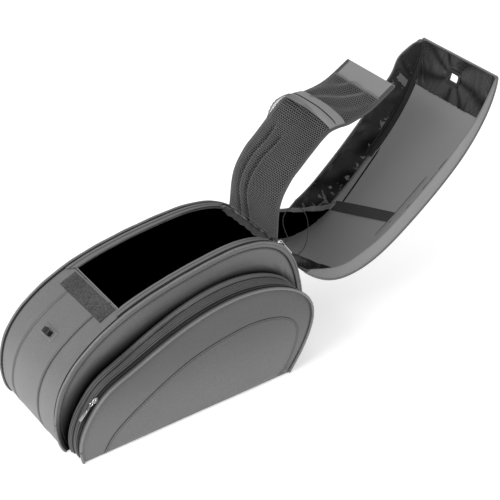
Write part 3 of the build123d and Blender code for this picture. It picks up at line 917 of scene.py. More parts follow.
    def opening_edges(self) -> None:
        """Bound front edge of the opening, and the loose nylon lip along its rear edge."""
        y = np.linspace(-0.82, 0.76, 40) * float(edge_at(300.0))
        front = Shell("opening_front_binding").tube(BODY.place(300.4 + 1.6 * y / 80, y, 0.5), 1.2, sides=10)
        hand_over(front.build(), "bag", "synthetic_leather", self.materials.piping)
        share, across = np.linspace(0, 1, 15)[:, None], np.linspace(-0.79, 0.79, 70)
        torn = np.abs(waves(np.stack([across * 0, across * 90, across * 0], -1), 21.0, 3.0))
        ragged = 613 - 9 * torn - 5 * across
        s = ragged + (638 - ragged) * share
        y = edge_at(s) * across
        flat = BODY.place(s, y)
        off = 0.6 + 2.4 * ridge(share, 0.35, 0.4, 1.0) + 2.6 * waves(flat, 13.0, 11.0)
        off = off - 8.0 * smooth(1 - share / 0.3)
        lip = Shell("rear_nylon_lip").wall(BODY.place(s, y, off), BODY.place(s, y, off - 0.6)).build()
        hand_over(lip, "bag", "nylon", self.materials.nylon)
        cut(flat)

    def patch(self) -> None:
        """Loop tape patch in front of the opening, stitched all round."""
        s, t = np.linspace(*self.patch_ends, 24), np.linspace(0, 1, 100)
        low, high = (share * edge_at(s) for share in self.patch_sides)
        y = low[:, None] + (high - low)[:, None] * t
        flat = BODY.place(along_rows(s, y), y)
        off = 1.0 + 0.45 * waves(flat, 2.2, 2.0) + 0.5 * waves(flat, 6.0, 9.0)
        to_end, to_side = np.minimum(s - s[0], s[-1] - s), np.minimum(y - low[:, None], high[:, None] - y)
        off = np.where(np.minimum(to_end[:, None], to_side) < 1.4, 0.55, off)
        piece = Shell("loop_patch").wall(*skin(BODY.place, s, y, off, 0.9)).build(80)
        hand_over(piece, "bag", "hook_loop", self.materials.loop_tape, "loop_tape_patch")

    def staple_tab(self) -> None:
        """Leather tab under the lock staple, with its border turned down."""
        long, wide = self.staple_tab_size
        s, y = self.staple_at + spread(15, -long / 2, long / 2), spread(21, -wide / 2, wide / 2)
        edge = np.minimum(long / 2 - np.abs(s - self.staple_at)[:, None], wide / 2 - np.abs(y)[None])
        off = 1.9 + rolled(edge, 2.2, 1.3) - ridge(edge, 3.0, 0.9, 0.3)
        piece = Shell("staple_tab").wall(*skin(BODY.place, s, np.broadcast_to(y, edge.shape) + 2.0, off, 1.6)).build()
        hand_over(piece, "bag", "synthetic_leather", self.materials.leather, "staple_plate")
        rise = np.array([0.6, 9.0, 11.2, 12.0, 12.0, 11.2, 9.0, 0.6])
        y = np.array([-9, -9, -8.3, -6.5, 6.5, 8.3, 9, 9])
        along, across = np.meshgrid(self.staple_at + np.linspace(-4.7, 4.7, 5), y, indexing="ij")
        inner = BODY.place(along, across * 0.78, np.maximum(rise - 2.2, 0.6))
        loop = Shell("staple_loop").wall(BODY.place(along, across, rise), inner).build(30)
        hand_over(loop, "bag", "black_metal", self.materials.black, "lock_staple")

    def stitching(self) -> None:
        """Every row of stitches on the body, as one piece."""
        lines = []
        s = np.linspace(4, 294, 100)
        for side, inset in ((Side.NEAR, 3.4), (Side.FAR, 3.0)):
            for sign in (-1, 1):
                y = self.seam(side, s) + sign * inset
                lines.append((BODY.place(s, y, 0.25), BODY.up(s)))
        s = np.linspace(2, BODY.total - 2, 260)
        for side in Side:
            xz = nested(BODY, floor_line, [(0, self.stitch_in)], s)[0][0]
            y = side.value * (half_width(xz[:, 0]) + 0.2)
            out = np.broadcast_to([0.0, side.value, 0.0], (len(s), 3))
            lines.append((np.stack([xz[:, 0], y, xz[:, 1]], -1), out))
        for share in (-0.71, 0.66):
            s = np.linspace(262.5, 294, 12)
            lines.append((BODY.place(s, share * edge_at(s), 0.9), BODY.up(s)))
        for at in (262.4, 294.0):
            y = np.linspace(-0.73, 0.69, 40) * edge_at(at)
            lines.append((BODY.place(np.full_like(y, at), y, 0.9), BODY.up(np.full_like(y, at))))
        piece = self.repeat.run("body_stitches", lines, STITCH, self.materials.thread)
        hand_over(piece, "bag", "synthetic_leather", self.materials.thread)

    def carried_nodes(self) -> None:
        """Frame nodes that keep their shape and take a finish."""
        # The lining and the base board inside the compartment are painted black as painted shadow.
        repaint("liner", self.materials.black_nylon)
        repaint("base_board", self.materials.black_nylon)
        repaint("bottom_panel", self.materials.leather)

    def build(self) -> None:
        """Make the whole body."""
        self.panels()
        self.side_panels()
        self.pipings()
        self.main_zip()
        self.welts()
        self.opening_edges()
        self.patch()
        self.staple_tab()
        self.stitching()
        self.carried_nodes()


# ---- side pockets ----
@dataclass
class SidePocket:
    """One side pocket: gusset, rim, face pad with its curved seam, pipings and the zip round it."""

    side: Side
    materials: Materials
    repeat: RepeatTree
    face: float = 146.0
    split: float = 134.5
    wall: float = 1.8
    floor: float = 2.6
    # How dark the painted shade between the cords is.
    tape_dark: float = 0.93
    zip_lip: float = 6.0             # how far the gusset stops short of the zip's middle
    cords: tuple[float, ...] = (3.0, 7.2, 10.8, 14.4, 18.0, 21.6)
    seam: tuple[tuple[float, float], ...] = (
        (-193, 2.6), (-171, 33), (-140, 57), (-100, 81), (-49, 108), (2, 128), (64, 141), (117, 145), (165, 137),
        (196, 121), (211, 99), (212, 80), (203, 47), (187, 18), (170, 2.6))

    def sweep(self, name: str, s: Array, y: Array, off: Array, body: str, node: Sequence[str],
              finish: bpy.types.Material, slot: str, dark: Number = 0.0) -> bpy.types.Object:
        """Make a wall that follows the pocket's outline.

        Args:
            name: the piece's name.
            s: (n,) arc lengths.
            y: (n, m) distances from the middle plane.
            off: (m,) or (n, m) heights over the outline.
            body: the body it rides on.
            node: frame nodes that it replaces.
            finish: its material.
            slot: its slot.
            dark: painted shade in its folds and grooves.

        Returns:
            The piece.
        """
        off = np.broadcast_to(off, y.shape)
        along = along_rows(s, y)
        outer = POCKET.place(along, y, off) * [1, self.side.value, 1]
        inner = POCKET.place(along, y, off - self.wall) * [1, self.side.value, 1]
        outer[..., 2] = np.maximum(outer[..., 2], 0.1)
        inner[..., 2] = np.maximum(inner[..., 2], 0.1)
        piece = Shell(name).wall(outer, inner, dark=dark).build()
        return hand_over(piece, body, slot, finish, *node)

    def gusset(self) -> None:
        """Back part of the gusset: a padded roll beside the body, a groove, then a band with cords, with painted
        shade at the crease beside the body, in the groove and between the cords.
        """
        s = np.linspace(0.5, POCKET.total - 0.5, 170)
        back = half_width(POCKET.at(s)[:, 0]) + 0.6
        front = self.split - self.zip_lip
        y = back[:, None] + (front - back)[:, None] * np.linspace(0, 1, 76)
        d, left = y - back[:, None], front - y
        off = ridge(d, 7.0, 8.2, 3.6) - 1.8 + ridge(d, 7.4, 2.2, 0.9)
        cords = sum(ridge(left, at, 1.7, 1.0) for at in self.cords)
        off = off + 1.6 * cords + 0.8 * smooth((d - 15) / 6) + rolled(left, 1.2, 0.8)
        # Painted shade: darkest between the cords, lighter on their crests, black at the crease beside the body and
        # dark in the groove; the rest of the gusset a little darker.
        fold = np.where(left < 24, self.tape_dark * (1 - 0.75 * np.clip(cords, 0, 1)), 0.1)
        dark = np.maximum(np.maximum(fold, 1 - np.clip(d / 5, 0, 1)), 0.8 * smooth(1 - np.abs(d - 15) / 2.0))
        flat = POCKET.place(along_rows(s, y), y)
        off = off + 0.3 * waves(flat, 24.0, 4.0 + self.side.value)
        self.sweep(f"pocket_gusset_skin_{self.side.word}", s, y, off, "bag",
                   [f"pocket_gusset_{self.side.word}"], self.materials.leather, "synthetic_leather", dark)
        x = np.linspace(POCKET.at(0.0)[0] + 2, POCKET.at(POCKET.total)[0] - 2, 12)
        low, high = half_width(x) + 0.5, np.full_like(x, self.split - 0.6)
        y = self.side.value * np.stack([low, (low + high) / 2, high], -1)
        plate = np.stack(np.broadcast_arrays(x[:, None], y, 0.1), -1)
        base = Shell(f"pocket_base_{self.side.word}").wall(plate, plate + [0, 0, 2.2]).build()
        hand_over(base, "bag", "synthetic_leather", self.materials.leather)

    def zip_round(self) -> None:
        """Zip tapes and coil, one half on the bag and one on the cover."""
        word, sign = self.side.word, self.side.value
        s = np.linspace(8, POCKET.total - 8, 160)
        halves = (("bag", f"pocket_zip_{word}", -6.2, -0.4),
                  (f"pocket_cover_{word}", f"pocket_zip_edge_{word}", 0.4, 6.2))
        for body, node, low, high in halves:
            y = np.broadcast_to(self.split + np.linspace(low, high, 5), (len(s), 5))
            self.sweep(f"{node}_tape", s, y, np.full(5, 0.2), body, [node], self.materials.tape, "zip")
        path = POCKET.place(s, np.full_like(s, sign * (self.split - 0.5)), 0.9)
        coil = self.repeat.run(f"pocket_coil_{word}", [(path, POCKET.up(s))], COIL, self.materials.coil)
        hand_over(coil, "bag", "zip", self.materials.coil)

    def rim(self) -> None:
        """Outer gusset band between the zip and the face piping."""
        word = self.side.word
        s = np.linspace(0.5, POCKET.total - 0.5, 170)
        low, high = self.split + 4.0, self.face - 1.4
        y = np.broadcast_to(spread(15, low, high), (len(s), 15))
        off = ridge(y - low, 2.6, 3.0, 1.7) + rolled(y - low, 1.2, 0.8) - 0.4 * smooth((y - low - 4) / 3)
        # Painted shade in the groove at the foot of the ridge; the whole band is painted darker too.
        dark = 0.45 + 0.45 * smooth(1 - np.abs(y - low - 5.6) / 1.2)
        body = f"pocket_cover_{word}"
        self.sweep(f"pocket_rim_skin_{word}", s, y, off, body, [f"pocket_rim_{word}"], self.materials.leather,
                   "synthetic_leather", dark)
        s = np.linspace(2.6, POCKET.total - 2.6, 170)
        path = POCKET.place(s, np.full_like(s, self.side.value * (self.face - 0.4)), 0.9)
        pipe = Shell(f"pocket_face_piping_{word}").tube(path, 2.3 + 0.12 * waves(path, 6.0)).build()
        hand_over(pipe, body, "piping", self.materials.piping, f"pocket_piping_{word}")

    def face_pad(self) -> None:
        """The face: two padded fields with a curved lapped seam between them, with painted shade in the seam and
        towards the top.
        """
        word, sign = self.side.word, self.side.value
        curve = Outline(through(self.seam))
        s = np.linspace(0, POCKET.total, 180)

        def seam_points(at: Array) -> Array:
            """Points of the curved seam, matched to the outline by share of length."""
            return curve.at(at / POCKET.total * curve.total)

        outer_rows = [(t, 0) for t in (0.0, 0.03, 0.07, 0.13, 0.25, 0.4, 0.55, 0.7, 0.82)]
        outer_rows += [(1, d) for d in (-6, -4, -2.6, -1.7, -1.0, -0.4)]
        field, depth = nested(POCKET, seam_points, outer_rows, s)
        gap = np.linalg.norm(field - seam_points(s)[None], axis=-1)
        rise = 2.0 * smooth(depth / 12) - 1.6 + ridge(gap, 0, 3.2, -1.0)

        def middle(at: Array) -> Array:
            """Points on the floor that the inner field closes in on."""
            return np.stack([np.interp(at, [0, POCKET.total], [-150, 150]), np.full_like(at, self.floor)], -1)

        seam_line = Outline(seam_points(s))
        inner_rows = [(0, d) for d in (0.0, 0.5, 1.1, 1.8, 2.8, 4.2, 7, 12, 20)]
        inner_rows += [(share, 20 * (1 - share)) for share in (0.2, 0.4, 0.6, 0.8, 0.995)]
        core, inside = nested(seam_line, middle, inner_rows, seam_line.s)
        lap = 0.7 * smooth(inside / 1.2) + 2.4 * smooth(inside / 60) + ridge(inside, 5.2, 1.0, -0.5)
        grid = np.concatenate([field, core])
        rise = np.concatenate([rise, lap + 0.1])
        level = smooth((grid[..., 1] - self.floor) / 10 + 0.15)
        points = np.stack([grid[..., 0], self.face - 1.2 + rise * level,
                           np.maximum(grid[..., 1], self.floor)], -1)
        points[..., 1] += 0.35 * waves(points, 70.0, 2.0 * sign) * level
        outer = points * [1, sign, 1]
        inner = outer - np.array([0, sign * self.wall, 0])
        # Painted shade on both sides of the lapped seam, and painted shade darkening the face towards its top.
        line = np.concatenate([0.85 * smooth(1 - gap / 1.5), 0.7 * smooth(1 - inside / 0.9)])
        line = np.maximum(line, 0.34 * smooth((grid[..., 1] - 20) / 150))
        pad = Shell(f"pocket_face_pad_{word}").wall(outer, inner, grid, line).build()
        hand_over(pad, f"pocket_cover_{word}", "synthetic_leather", self.materials.leather,
                  f"pocket_face_{word}")
        at = np.linspace(3, seam_line.total - 3, 240)
        xz = seam_line.at(at, -3.4)
        xz[:, 1] = np.maximum(xz[:, 1], self.floor + 1)
        line = np.stack([xz[:, 0], np.full(len(at), sign * (self.face + 0.2)), xz[:, 1]], -1)
        out = np.broadcast_to([0.0, sign, 0.0], line.shape)
        stitches = self.repeat.run(f"face_stitches_{word}", [(line, out)], STITCH, self.materials.thread)
        hand_over(stitches, f"pocket_cover_{word}", "synthetic_leather", self.materials.thread)

    def build(self) -> None:
        """Make the whole pocket."""
        self.gusset()
        self.zip_round()
        self.rim()
        self.face_pad()


# ---- cloth ----
CLOTH_FRAMES = 25


def cut(grid: Array) -> tuple[float, float]:
    """Width and length, in metres, of the rectangle of cloth that a flat (n, m, 3) grid is cut from."""
    a, b = np.diff(grid, axis=0)[:, :-1], np.diff(grid, axis=1)[:-1]
    area = float(np.linalg.norm(np.cross(a, b), axis=-1).sum())
    length = float(np.linalg.norm(np.diff(grid[:, grid.shape[1] // 2], axis=0), axis=-1).sum())
    return area / length * MM, length * MM


def settle(points: Array, facing: Array, pinned: Array, slack: float, room: Number, seed: float) -> Array:
    """Let a sewn-down sheet of cloth, cut a little too large, crumple as far as its room allows.

    Args:
        points: (n, m, 3) grid of the flat lie, in millimetres.
        facing: direction, of the grid's shape or one vector, in which the cloth can lift.
        pinned: (n, m) truth of the points that are sewn down.
        slack: how much longer the cloth is than its place.
        room: how far it can lift, one value or one for each point.
        seed: picks the crumples.

    Returns: The crumpled grid.
    """
    n, m = points.shape[:2]
    facing = np.broadcast_to(facing, points.shape)
    start = 0.5 + 0.5 * waves(points, 22.0, seed)
    loose = points + facing * (start * np.minimum(room, 2.0) * ~pinned)[..., None]
    mesh = bpy.data.meshes.new("cloth_work")
    ids = np.arange(n * m).reshape(n, m)
    quads = np.stack([ids[:-1, :-1], ids[1:, :-1], ids[1:, 1:], ids[:-1, 1:]], -1).reshape(-1, 4)
    mesh.from_pydata((loose.reshape(-1, 3) * MM).tolist(), [], quads.tolist())
    work = add_object("cloth_work", mesh)
    group = work.vertex_groups.new(name="sewn")
    group.add(ids[pinned].ravel().tolist(), 1.0, "REPLACE")
    cloth = work.modifiers.new("cloth", "CLOTH").settings
    cloth.vertex_group_mass = group.name
    cloth.shrink_min = -slack
    cloth.effector_weights.gravity = 0.0
    cloth.bending_stiffness = 0.4
    cloth.air_damping = 4.0
    scene = bpy.context.scene
    for step in range(1, CLOTH_FRAMES + 1):
        scene.frame_set(step)
    done = work.evaluated_get(bpy.context.evaluated_depsgraph_get()).data
    moved = np.empty(n * m * 3)
    done.vertices.foreach_get("co", moved)
    scene.frame_set(1)
    bpy.data.objects.remove(work)
    shift = moved.reshape(points.shape) / MM - points
    lift = (shift * facing).sum(-1)
    slide = shift - facing * lift[..., None]
    slide *= np.minimum(1.0, 2.5 / np.maximum(np.linalg.norm(slide, axis=-1), 1e-6))[..., None]
    return points + slide + facing * np.clip(np.abs(lift), 0, room)[..., None]


# ---- the lid ----
LID_HINGE = BODY.at(724.5, 9.7)


def opened(points: Array) -> Array:
    """Points of the closed lid, turned open about the lid's hinge."""
    x, z = points[..., 0] - LID_HINGE[0], points[..., 2] - LID_HINGE[1]
    c, s = math.cos(LID_OPEN), math.sin(LID_OPEN)
    return np.stack([LID_HINGE[0] + c * x + s * z, points[..., 1], LID_HINGE[1] - s * x + c * z], -1)


def on_lid(s: Number, y: Number, off: Number) -> Array:
    """Point on the open lid, from its place on the closed one."""
    return opened(BODY.place(s, y, off))


@dataclass
class Lid:
    """The lid: cover, flared and lined skirts, stiff board, gathered end liner, eyelet, slits and strap."""

    materials: Materials
    repeat: RepeatTree
    start: float = 145.0
    end: float = 719.0
    outer: float = 9.7
    cover: float = 2.0
    side_gap: float = 3.0
    board: tuple[float, float] = (228.0, 712.0)
    board_low: float = 5.65
    board_high: float = 7.55
    board_share: float = 0.955       # of the body's half width
    liner_share: float = 0.96
    skirt_depth: float = 58.0
    flare: float = math.radians(20)
    skirt_wall: float = 1.6
    eyelet_at: float = 186.0
    eyelet_hole: tuple[float, float] = (15.0, 24.0)

    def reach(self, s: Number) -> Number:
        """How deep the skirts hang at a place along the lid."""
        t = (s - self.start) / (self.end - self.start)
        arch = np.minimum(1.0, 1.25 * np.sin(math.pi * np.clip(t, 0, 1)) ** 0.62)
        return self.skirt_depth * arch * (1 - 0.25 * t**6) + 1.5

    def on_skirt(self, side: Side, s: Number, share: Number, extra: Number = 0.0) -> Array:
        """Point on a skirt of the closed lid.

        Args:
            side: which skirt.
            s: arc length along the body.
            share: 0 at its top edge and 1 at its rim.
            extra: distance outward from its inner face.

        Returns:
            The point, or a grid of them.
        """
        s = np.asarray(s, float)
        shoulder = 13 * np.exp(-((s - 185) / 35) ** 2) * smooth((s - 147) / 12)
        slim = -9 * np.exp(-((s - 250) / 70) ** 2)
        depth = (self.reach(s) + (shoulder if side is Side.FAR else slim)) * share
        points = BODY.place(s, 0.0, self.outer - self.cover - 0.5 - depth * math.cos(self.flare))
        points[..., 1] = side.value * (edge_at(s) + self.side_gap + extra + depth * math.sin(self.flare))
        return points

    def covering(self) -> None:
        """Outer skin, left open round the eyelet, with a piped seam along both edges."""
        long, wide = self.eyelet_hole[0] / 2, self.eyelet_hole[1] / 2
        shell = Shell("lid_skin")
        low, high = self.eyelet_at - long, self.eyelet_at + long
        for s0, s1, y0, y1, count in ((self.start, low, -1, 1, 12), (high, self.end, -1, 1, 130),
                                      (low, high, -1, 0, 6), (low, high, 0, 1, 6)):
            s = np.linspace(s0, s1, count)
            half = (edge_at(s) + self.side_gap + self.skirt_wall)[:, None]
            left = half * y0 if y0 else np.full_like(half, wide)
            right = half * y1 if y1 else np.full_like(half, -wide)
            y = left + (right - left) * spread(41)
            edge = half - np.abs(y)
            along = along_rows(s, y)
            flat = BODY.place(along, y)
            off = self.outer + rolled(edge, 3.0, 1.2) - ridge(edge, 6.0, 1.0, 0.7) + 0.3 * waves(flat, 60.0, 8)
            shell.wall(on_lid(along, y, off), on_lid(along, y, self.outer - self.cover))
        hand_over(shell.build(), "lid", "synthetic_leather", self.materials.lid_leather, "lid_cover")
        s = np.linspace(self.start + 1, self.end - 1, 150)
        pipes = Shell("lid_edge_piping")
        half, under, radius = edge_at(s) + self.side_gap + self.skirt_wall, self.outer - 1.6, 1.7
        for side in Side:
            pipes.tube(on_lid(s, side.value * half, under), radius)
        y = np.linspace(-1, 1, 40) * float(edge_at(self.start) + self.side_gap)
        pipes.tube(on_lid(self.start, y, under), radius)
        hand_over(pipes.build(), "lid", "piping", self.materials.piping)

    def skirts(self) -> None:
        """Leather skirts, bound rims, and the thin nylon that lines them."""
        s = np.linspace(self.start + 2, self.end - 4, 120)
        for side in Side:
            along, down = np.meshgrid(s, spread(22), indexing="ij")
            flat = self.on_skirt(side, along, down)
            puff = 0.5 * waves(flat, 45.0, 3.0 * side.value) * smooth(down * 3)
            outer = self.on_skirt(side, along, down, self.skirt_wall + puff - rolled(1 - down, 0.05, -0.5))
            inner = self.on_skirt(side, along, down, puff)
            skirt = Shell(f"lid_skirt_skin_{side.word}").wall(opened(outer), opened(inner)).build()
            hand_over(skirt, "lid", "synthetic_leather", self.materials.lid_leather, f"lid_skirt_{side.word}")
            rim = opened(self.on_skirt(side, s, 1.0, 0.8 + 0.5 * waves(flat[:, -1], 45.0, 3.0 * side.value)))
            bound = Shell(f"lid_rim_binding_{side.word}").tube(rim, 1.5).build()
            hand_over(bound, "lid", "piping", self.materials.lid_leather)
            self.lining(side)

    def lining(self, side: Side) -> None:
        """Loose nylon on the inner face of one skirt, with patches of painted shade towards the lid's hinge end."""
        s, share = np.linspace(self.start + 8, self.end - 14, 150), np.linspace(0.02, 0.975, 24)
        along, down = np.meshgrid(s, share, indexing="ij")
        flat = self.on_skirt(side, along, down, -0.5)
        sewn = np.zeros(flat.shape[:2], bool)
        sewn[[0, -1]] = sewn[:, [0, -1]] = True
        inward = np.array([0, -side.value * math.cos(self.flare), 0.3])
        room = (0.4 + 8.0 * down) * (1 - down**6)
        loose = settle(flat, inward / np.linalg.norm(inward), sewn, 0.07, room, 5.0 + side.value)
        # Painted shade in patches over the lining, from arc length 320 on towards the hinge end.
        dark = smooth(0.4 + 1.6 * waves(flat, 38.0, 4.0)) * smooth((along - 320) / 60) * 0.85
        piece = Shell(f"lid_lining_{side.word}")
        piece = piece.wall(opened(loose), opened(loose - inward * 0.5), dark=dark).build()
        hand_over(piece, "lid", "nylon", self.materials.nylon)
        cut(flat)

    def inner_board(self) -> None:
        """Stiff board with its glued cloth."""
        s = np.linspace(*self.board, 110)
        y = (edge_at(s) * self.board_share)[:, None] * spread(45, -1, 1)
        along = along_rows(s, y)
        off = self.board_low + 0.35 * waves(BODY.place(along, y), 50.0, 21.0)
        piece = Shell("lid_board_cloth").wall(on_lid(along, y, self.board_high), on_lid(along, y, off)).build()
        hand_over(piece, "lid", "board", self.materials.board, "lid_board")

    def end_liner(self) -> None:
        """Nylon of the lid's low end, pulled in folds towards the eyelet, with painted shade in the hollows between
        the folds.
        """
        s, share = np.linspace(self.start + 2, self.board[0] + 3, 60), np.linspace(-1, 1, 110)
        half = (edge_at(s) * self.liner_share)[:, None]
        y = half * share
        along = along_rows(s, y)
        place = BODY.place(along, y, self.board_low)
        aside, ahead = y - 3.0, along - self.eyelet_at
        away = np.hypot(aside, ahead)
        angle = np.arctan2(ahead, aside)
        fold = 0.5 + 0.5 * np.sin(angle * 7 + 1.6 * np.sin(angle * 2 + 1.0) + away * 0.02)
        room = 5.0 * smooth((away - 17) / 16) * smooth((half - np.abs(y)) / 9) * (0.3 + 0.7 * fold)
        sewn = np.zeros(y.shape, bool)
        sewn[[0, -1]] = sewn[:, [0, -1]] = True
        sewn |= away < 17
        down = -BODY.up(along)
        lie = settle(place, down, sewn, 0.08, room, 9.0)
        hole = (np.abs(aside + 3.0) < self.eyelet_hole[1] / 2) & (np.abs(ahead) < self.eyelet_hole[0] / 2)
        # Painted shade in the hollows between the folds, fading out near the eyelet.
        dark = 0.75 * (1 - fold) ** 2 * smooth((away - 14) / 10)
        piece = Shell("lid_end_nylon").layer(opened(lie), ~hole, dark).build(thickness=0.6)
        hand_over(piece, "lid", "nylon", self.materials.nylon, "lid_end_liner")
        cut(place)
        ring = Shell("eyelet_ring")
        angle = np.linspace(0, 2 * math.pi, 49)
        corner = np.stack([np.sign(np.cos(angle)) * np.abs(np.cos(angle)) ** 0.45,
                           np.sign(np.sin(angle)) * np.abs(np.sin(angle)) ** 0.45], -1)
        for half_long, half_wide, low, radius in ((9.3, 13.8, 3.4, 1.9), (13.4, 17.6, 3.7, 1.5),
                                                  (11.4, 15.7, 3.9, 2.2)):
            line = on_lid(self.eyelet_at + corner[:, 0] * half_long, corner[:, 1] * half_wide, low)
            ring.tube(line, radius, 10)
        hand_over(ring.build(), "lid", "black_metal", self.materials.black, "eyelet_frame")

    def bands(self) -> None:
        """Black zip tapes with teeth along both sides of the lid's low half."""
        s = np.linspace(self.start + 5, 396, 90)
        tapes, teeth = Shell("lid_zip_tapes"), []
        for side in Side:
            across = np.linspace(-9.5, 2.6, 6)
            y = side.value * (edge_at(s)[:, None] + across)
            tapes.wall(*skin(on_lid, s, y, self.board_low - 0.8 - 0.12 * (across + 7.5), -1.0))
            along, down = np.meshgrid(s, np.linspace(0.02, 0.2, 5), indexing="ij")
            tapes.wall(*(opened(self.on_skirt(side, along, down, lift)) for lift in (-2.4, -1.2)))
            for inset in (-6.4, -1.4):
                path = on_lid(s, side.value * (edge_at(s) + inset), self.board_low - 1.6)
                teeth.append((path, np.array([0.5, 0.0, 0.9])))
            for share in (0.07, 0.16):
                teeth.append((opened(self.on_skirt(side, s, share, -2.9)), np.array([0.0, -1.0, 0.3])))
        hand_over(tapes.build(), "lid", "zip", self.materials.tape, "lid_zip")
        rows = self.repeat.run("lid_zip_teeth", teeth, Bead(3.2, 2.0, 3.4, 2.2), self.materials.coil)
        hand_over(rows, "lid", "zip", self.materials.coil)

    def slits(self) -> None:
        """The two slits in the board's cloth, each with a turned hem, that the strap runs through."""
        runs = ((Side.FAR, ((372, 87, 81), (439, 86, 75), (509, 84, 66))),
                (Side.NEAR, ((371, 60, 58), (445, 58.5, 55), (518, 55, 52))))
        for side, rows in runs:
            rows = np.array(rows, float)
            s = np.linspace(rows[0, 0], rows[-1, 0], 40)
            outer, inner = np.interp(s, rows[:, 0], rows[:, 1]), np.interp(s, rows[:, 0], rows[:, 2])
            y = side.value * (outer[:, None] + (inner - outer)[:, None] * spread(9))
            ends = smooth(np.minimum(s - s[0], s[-1] - s) / 14)[:, None]
            off = self.board_low - 0.5 - 1.5 * ends * np.linspace(0, 1, 9) ** 2
            hem = Shell(f"lid_slit_hem_{side.word}").wall(*skin(on_lid, s, y, off, -0.7))
            hand_over(hem.build(), "lid", "nylon", self.materials.board)
            # The black strip in each slit is painted shadow in the slit's gap.
            gap = side.value * (inner[:, None] + np.array([1.2, -0.8, -2.2]) * (0.35 + 0.65 * ends))
            slit = Shell(f"lid_slit_{side.word}").wall(*skin(on_lid, s, gap, self.board_low - 0.45, -0.4))
            hand_over(slit.build(), "lid", "nylon", self.materials.black_nylon)

    def strap(self) -> None:
        """Ribbed webbing that crosses the board on the slant, from the far slit to the near one."""
        t = np.linspace(0, 1, 70)
        s, y = 517 - 45 * t, 77 - 133 * t
        across = np.linspace(-11, 11, 9)
        along, wide = s[:, None] + across * 0.96, y[:, None] + across * -0.3
        lift = 1.1 + 1.6 * np.sin(math.pi * t)[:, None] - 1.2 * smooth((t - 0.96) / 0.04)[:, None]
        off = self.board_low - lift - 0.15 * np.cos(across / 11 * math.pi)
        uv = np.stack(np.broadcast_arrays(across[None, :], (t * 140)[:, None]), -1)
        piece = Shell("lid_webbing").wall(on_lid(along, wide, off), on_lid(along, wide, off + 0.9), uv).build()
        hand_over(piece, "lid", "webbing", self.materials.webbing, "lid_strap")

    def build(self) -> None:
        """Make the whole lid."""
        self.covering()
        self.skirts()
        self.inner_board()
        self.end_liner()
        self.bands()
        self.slits()
        self.strap()


@dataclass
class HingeGusset:
    """Nylon triangle between the body's tall end and the open lid, in two leaves that meet at its fold."""

    side: Side
    materials: Materials
    finish: bpy.types.Material
    lid_from: float
    lid_y: tuple[float, float]
    body_from: float
    body_y: float
    hem: float

    def build(self) -> None:
        """Make both leaves of the sheet."""
        sign = self.side.value
        u, v = np.linspace(0, 1, 40), np.linspace(0, 1, 60)
        low = BODY.place(self.body_from + (718 - self.body_from) * u, sign * self.body_y, 1.2)
        high = on_lid(self.lid_from + (714 - self.lid_from) * u, sign * np.interp(u, [0, 1], self.lid_y), 4.0)
        flat = low[:, None] + (high - low)[:, None] * v[:, None]
        flat = flat + (np.sin(math.pi * v) * (1 - u[:, None]) * 10)[..., None] * np.array([0.5, 0, -0.8])
        sewn = np.zeros(flat.shape[:2], bool)
        sewn[:, [0, -1]] = True
        sewn[-1] = True
        room = 4.0 * (1 - u[:, None] * v) + 0.2
        loose = settle(flat, np.array([0.0, -1.0, 0.0]), sewn, 0.05, room, 2.0 + sign)
        reach_low, reach_high = Lid.end - self.body_from, Lid.end - self.lid_from
        fold = round(len(v) * reach_low / (reach_low + reach_high))
        self.leaf("bag", loose[:, :fold + 1], flat[:, :fold + 1], low)
        self.leaf("lid", loose[:, fold:], flat[:, fold:], high)

    def leaf(self, body: str, loose: Array, flat: Array, sewn: Array) -> None:
        """One side of the gusset's fold, with its hem. It rides on the body that it is sewn to.

        Args:
            body: body that it is sewn to.
            loose: its settled surface.
            flat: its surface before settling.
            sewn: (n, 3) line where it is sewn; not used.
        """
        word = self.side.word
        sheet = Shell(f"hinge_gusset_sheet_{word}_{body}").wall(loose, loose + [0, 0.6, 0]).build()
        pieces = [sheet]
        stands_for = (f"hinge_gusset_{word}",) if body == "lid" else ()
        hand_over(sheet, body, "nylon", self.finish, *stands_for)
        if self.hem:
            along = np.linalg.norm(flat[1:] - flat[:-1], axis=2).mean(1).cumsum()
            edge = loose[:max(4, int(np.searchsorted(along, self.hem)))]
            strip = Shell(f"hinge_gusset_hem_{word}_{body}")
            strip = strip.wall(edge - [0, 1.4, 0], edge - [0, 0.1, 0]).build()
            hand_over(strip, body, "nylon", self.materials.board)
            pieces.append(strip)
        for piece in pieces:
            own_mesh(piece)
        cut(flat)
        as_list(pieces[1:])


